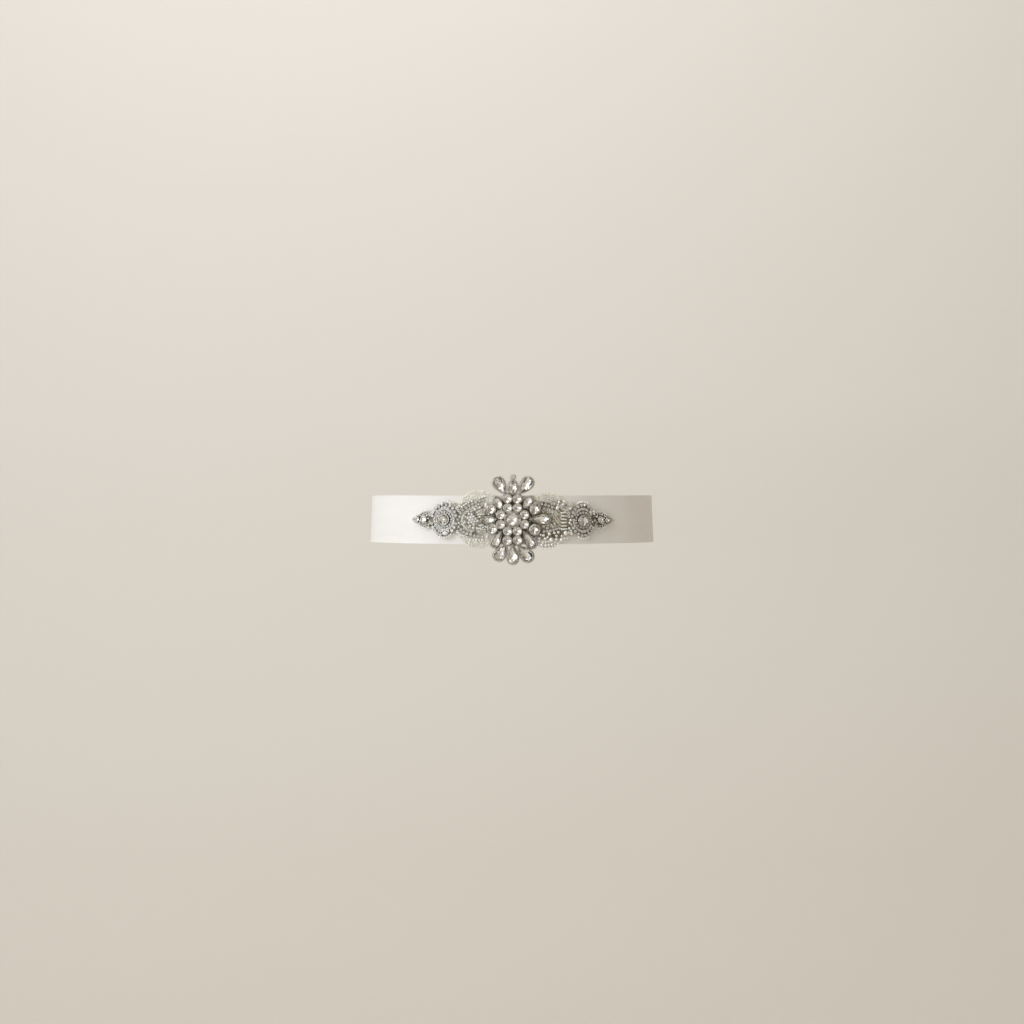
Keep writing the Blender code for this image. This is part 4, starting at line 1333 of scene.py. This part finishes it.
def inWing(side, least=0.0, most=0.97):
    # Inside the wing, between two shares of its radius, and clear of the rosette
    wing, rosette = wings[side], rosettes[side]
    return lambda along, up: least <= reachIn(wing, along, up) <= most and reachIn(rosette, along, up) > 0.95


def inCore(side, *oval):
    return lambda along, up: reachIn(Oval("core", *oval), along, up) < 1 and inWing(side)(along, up)


def inBridge(side):
    return lambda along, up: reachIn(bridges[side], along, up) < 0.95


# What is left between the rows is filled: zone, kind, where, box, size, tries
fillings = [
    ("wing_left", "round", inBridge("left"), (-51, -41, -13, 13), 2.1, 300),
    ("wing_right", "round", inBridge("right"), (43, 54, -13, 12), 2.2, 400),
    ("wing_left", "smoke", inBridge("left"), (-51, -41, -13, 13), 1.3, 200),
    ("wing_right", "smoke", inBridge("right"), (43, 54, -13, 12), 1.3, 200),
    ("wing_left", "smoke", inCore("left", -34.0, 0.0, 14.0, 14.0), (-48, -18, -14, 14), 1.3, 260),
    ("wing_left", "round", inCore("left", -34.0, 0.0, 16.0, 14.6), (-50, -8, -15, 15), 1.9, 900),
    ("wing_left", "seed", inCore("left", -32.0, 0.0, 18.0, 15.0), (-50, -8, -15, 15), 1.5, 700),
    ("wing_left", "cream", inWing("left"), (-47, -8, -25, 24.2), 1.35, 3000),
    ("wing_right", "smoke", inWing("right", 0.45, 1.0), (18, 52, -17, 15), 1.4, 420),
    ("wing_right", "cream", inWing("right", 0.0, 0.6), (24, 40, -9, 9), 1.1, 150),
    ("wing_right", "smoke", inWing("right", 0.0, 0.6), (24, 40, -9, 9), 1.0, 150),
    ("wing_right", "round", inWing("right", 0.5, 1.02), (18, 52, -25, 16), 2.2, 1100),
    ("wing_right", "seed", inWing("right", 0.5, 0.97), (8, 50, -25, 15), 1.5, 900),
    ("wing_right", "cream", inWing("right", 0.0, 0.97), (8, 48, 13, 22.6), 1.35, 380),
]
for zone, kind, inside, box, size, tries in fillings:
    scatter(zone, kind, inside, box, size, netTop, tries)
for side in sides:
    oval, leaf = rosettes[side], leaves[side]

    def inRosette(along, up, oval=oval):
        return reachIn(oval, along, up) < 0.93

    def inLeaf(along, up, leaf=leaf):
        return abs(up - leaf.up) < leafHalf(leaf, along) - 1.0

    rosetteBox = (oval.along - 11, oval.along + 11, -16.5, 15)
    leafBox = (*sorted((leaf.root, leaf.point)), leaf.up - 7, leaf.up + 7)
    scatter("rosette_" + side, "round", inRosette, rosetteBox, 1.7, rosetteTop, 500)
    scatter("rosette_" + side, "smoke", inRosette, rosetteBox, 1.1, rosetteTop, 500)
    scatter("leaf_" + side, "round", inLeaf, leafBox, 1.6, leafTop, 200)

# Grains of metal round the stones of the two fans
grains = {"outside": 0.75, "pitch": 1.25, "seam": 0.6, "size": (1.3, 1.3, 1.2), "lift": 0.25, "clear": 0.7}
grain = takeTemplate(turnedShape([(0.0, -0.5), (0.35, -0.36), (0.5, 0.0), (0.36, 0.35), (0.0, 0.5)], 8))
for stone in filter(isOuter, stones):
    others = [outlineCorners(other, 0.0) for other in medallionStones if other is not stone]
    edge = outlineCorners(stone, grains["outside"], 400)
    walked = lengthsAlong(edge)
    for place in np.arange(0, walked[-1] - grains["seam"], grains["pitch"]):
        x, y = (np.interp(place, walked, column) for column in edge.T)
        if gapTo(np.array([[x, y]]), others)[0] > grains["clear"]:
            addStamp("medallion", "grain", grain, bandFrame(x, y, stoneOut + grains["lift"]), grains["size"])

# The hem at the outer end is sewn down by hand
hemStitch = {"length": 1.9, "thick": 0.32, "count": 11, "spread": 34.0, "lift": 0.3}
for number in range(hemStitch["count"]):
    up = (number / (hemStitch["count"] - 1) - 0.5) * hemStitch["spread"]
    along = (waistRound + ribbon["lap"]) / 2 - ribbon["hem"] + ribbon["stitchIn"] + dice.uniform(-0.12, 0.12)
    out = ribbonInner(np.array([along]))[0] + ribbon["wall"] + hemStitch["lift"]
    lean = math.pi / 2 + dice.uniform(-0.15, 0.15)
    size = (hemStitch["length"] * dice.uniform(0.85, 1.1), hemStitch["thick"], hemStitch["thick"])
    addStamp("hem", "stitch", strand, bandFrame(along, up, out, lean), size)

# End of the piece's name, material and slot
looks = {
    **dict.fromkeys(("seed", "ring", "round", "bugle", "longBugle"), ("Beads", seedClear, "beaded_net")),
    **dict.fromkeys(("pearl", "drop"), ("Beads", pearl, "beaded_net")),
    "cream": ("Beads", seedCream, "beaded_net"),
    "smoke": ("Beads", seedSmoke, "beaded_net"),
    "strand": ("s", thread, "beaded_net"),
    "stitch": ("es", thread, "ribbon_satin"),
    **dict.fromkeys(("cup", "grain"), ("s", silverCups, "setting_silver")),
}
for (zone, kind), stamps in sorted(stampsOf.items()):
    if kind == "rhinestone":
        stampedPiece(f"rhinestones_{zone}", stamps, [crystal, softFoil], "crystal_glass", smooth=False)
    else:
        ending, material, slot = looks[kind]
        stampedPiece(f"{kind}{ending}_{zone}", stamps, [material], slot)
print("beads sewn on:", sum(map(len, stampsOf.values())))


# Closure metal stays as the solids are, with nickel plating
for name in ("hook_upper", "hook_lower", "bar_upper", "bar_lower"):
    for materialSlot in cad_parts[name].material_slots:
        materialSlot.material = nickel
print("closure finished")


# Room, light and camera

room = {"width": 40.0, "depth": 24.0, "front": 20.0, "floor": -0.62, "bendFrom": 0.6, "bend": 1.1}


def addRoom():
    # A pale floor that curves up into a wall behind
    item = startMesh(bpy.ops.mesh.primitive_grid_add, x_subdivisions=2, y_subdivisions=200, size=1.0)
    endEdit()
    flat = getPoints(item)
    run = (flat[:, 1] + 0.5) * room["depth"] - room["front"]
    past = run - room["bendFrom"]
    turn = np.clip(past, 0, room["bend"]) / room["bend"] * math.pi / 2
    radius = room["bend"] / (math.pi / 2)
    y = np.minimum(run, room["bendFrom"]) + radius * np.sin(turn)
    z = radius * (1 - np.cos(turn)) + np.maximum(past - room["bend"], 0) + room["floor"]
    setPoints(item, np.stack([flat[:, 0] * room["width"], y, z], 1))
    smoothShade(item, 60)
    # Matt wall paint on plaster, with painted shade making it a little darker where the wall meets the floor behind
    material, shader = newMaterial("plasterPainted", "#E3E1DE", Roughness=0.9)
    place = addNode(material, "TexCoord")
    split = addNode(material, "SeparateXYZ", links={"Vector": place.outputs["Object"]})
    height = addNode(material, "MapRange", {"From Min": -0.5, "From Max": 0.2}, {"Value": split.outputs["Z"]})
    front = addNode(material, "MapRange", {"From Min": 0.2, "From Max": -0.8}, {"Value": split.outputs["Y"]})
    paler = {0: height.outputs["Result"], 1: front.outputs["Result"]}
    share = addNode(material, "Math", {"operation": "MAXIMUM"}, paler)
    # painted shade: darker low at the back, paler in front and higher up
    setColour(material, shader, share.outputs[0], "#D8D3CC", "#E6E4E0")
    setRoughness(material, shader, addNoise(material, 2.2, 2), 0.86, 0.94)
    item.data.materials.append(material)
    item.name = "floorAndWall"


def addLight(name, place, target, size, power, colour):
    light = bpy.data.lights.new(name, "AREA")
    light.shape = "RECTANGLE"
    light.size, light.size_y = size
    light.energy = power
    light.color = linearColour(colour)[:3]
    item = bpy.data.objects.new(name, light)
    item.location = place
    item.rotation_euler = (Vector(target) - Vector(place)).to_track_quat("-Z", "Y").to_euler()
    bpy.context.scene.collection.objects.link(item)


lights = {
    # place, target, size, power, colour
    "keyLeft": ((-1.5, -1.15, 0.5), (0, 0, 0), (1.2, 1.4), 15.5, "#F0F6FF"),
    "topSoft": ((-0.2, -0.4, 1.9), (0, 0.1, 0), (1.4, 1.4), 5, "#FFFBF4"),
    "wallWash": ((-0.3, 0.1, 1.9), (0.1, 1.7, 0.5), (1.6, 1.0), 11.5, "#FFFEFB"),
}

addRoom()
for name, facts in lights.items():
    addLight(name, *facts)


worldColours = {"left": "#E9E6E0", "right": "#ABA191", "seen": "#B5AD9F", "from": -0.7, "to": 0.6}


def addWorld():
    # A large soft room: brighter and more neutral to the left, warmer and dimmer to the right
    world = bpy.data.worlds.new("softRoom")
    bpy.context.scene.world = world
    world.use_nodes = True
    place = addNode(world, "TexCoord")
    split = addNode(world, "SeparateXYZ", links={"Vector": place.outputs["Generated"]})
    reach = {"From Min": worldColours["from"], "From Max": worldColours["to"]}
    share = addNode(world, "MapRange", reach, {"Value": split.outputs["X"]})
    ramp = addNode(world, "ValToRGB", links={"Fac": share.outputs["Result"]})
    ramp.color_ramp.elements[0].color = linearColour(worldColours["left"])
    ramp.color_ramp.elements[1].color = linearColour(worldColours["right"])
    # where the floor ends, the camera sees the floor's own shade
    path = addNode(world, "LightPath")
    seen = addNode(
        world, "Mix", {"data_type": "RGBA", 7: linearColour(worldColours["seen"])},
        {0: path.outputs["Is Camera Ray"], 6: ramp.outputs["Color"]},
    )
    background = world.node_tree.nodes["Background"]
    world.node_tree.links.new(seen.outputs[2], background.inputs["Color"])


addWorld()

photoCamera = {"place": (0, -1.5, 0.0055), "lens": 60.4, "sensor": 36.0}
camera = bpy.data.cameras.new("photoCamera")
camera.lens = photoCamera["lens"]
camera.sensor_width = photoCamera["sensor"]
cameraItem = bpy.data.objects.new("photoCamera", camera)
cameraItem.location = photoCamera["place"]
cameraItem.rotation_euler = (math.pi / 2, 0, 0)
bpy.context.scene.collection.objects.link(cameraItem)
bpy.context.scene.camera = cameraItem
bpy.context.scene.view_settings.view_transform = "Standard"
print("room, lights and camera set")
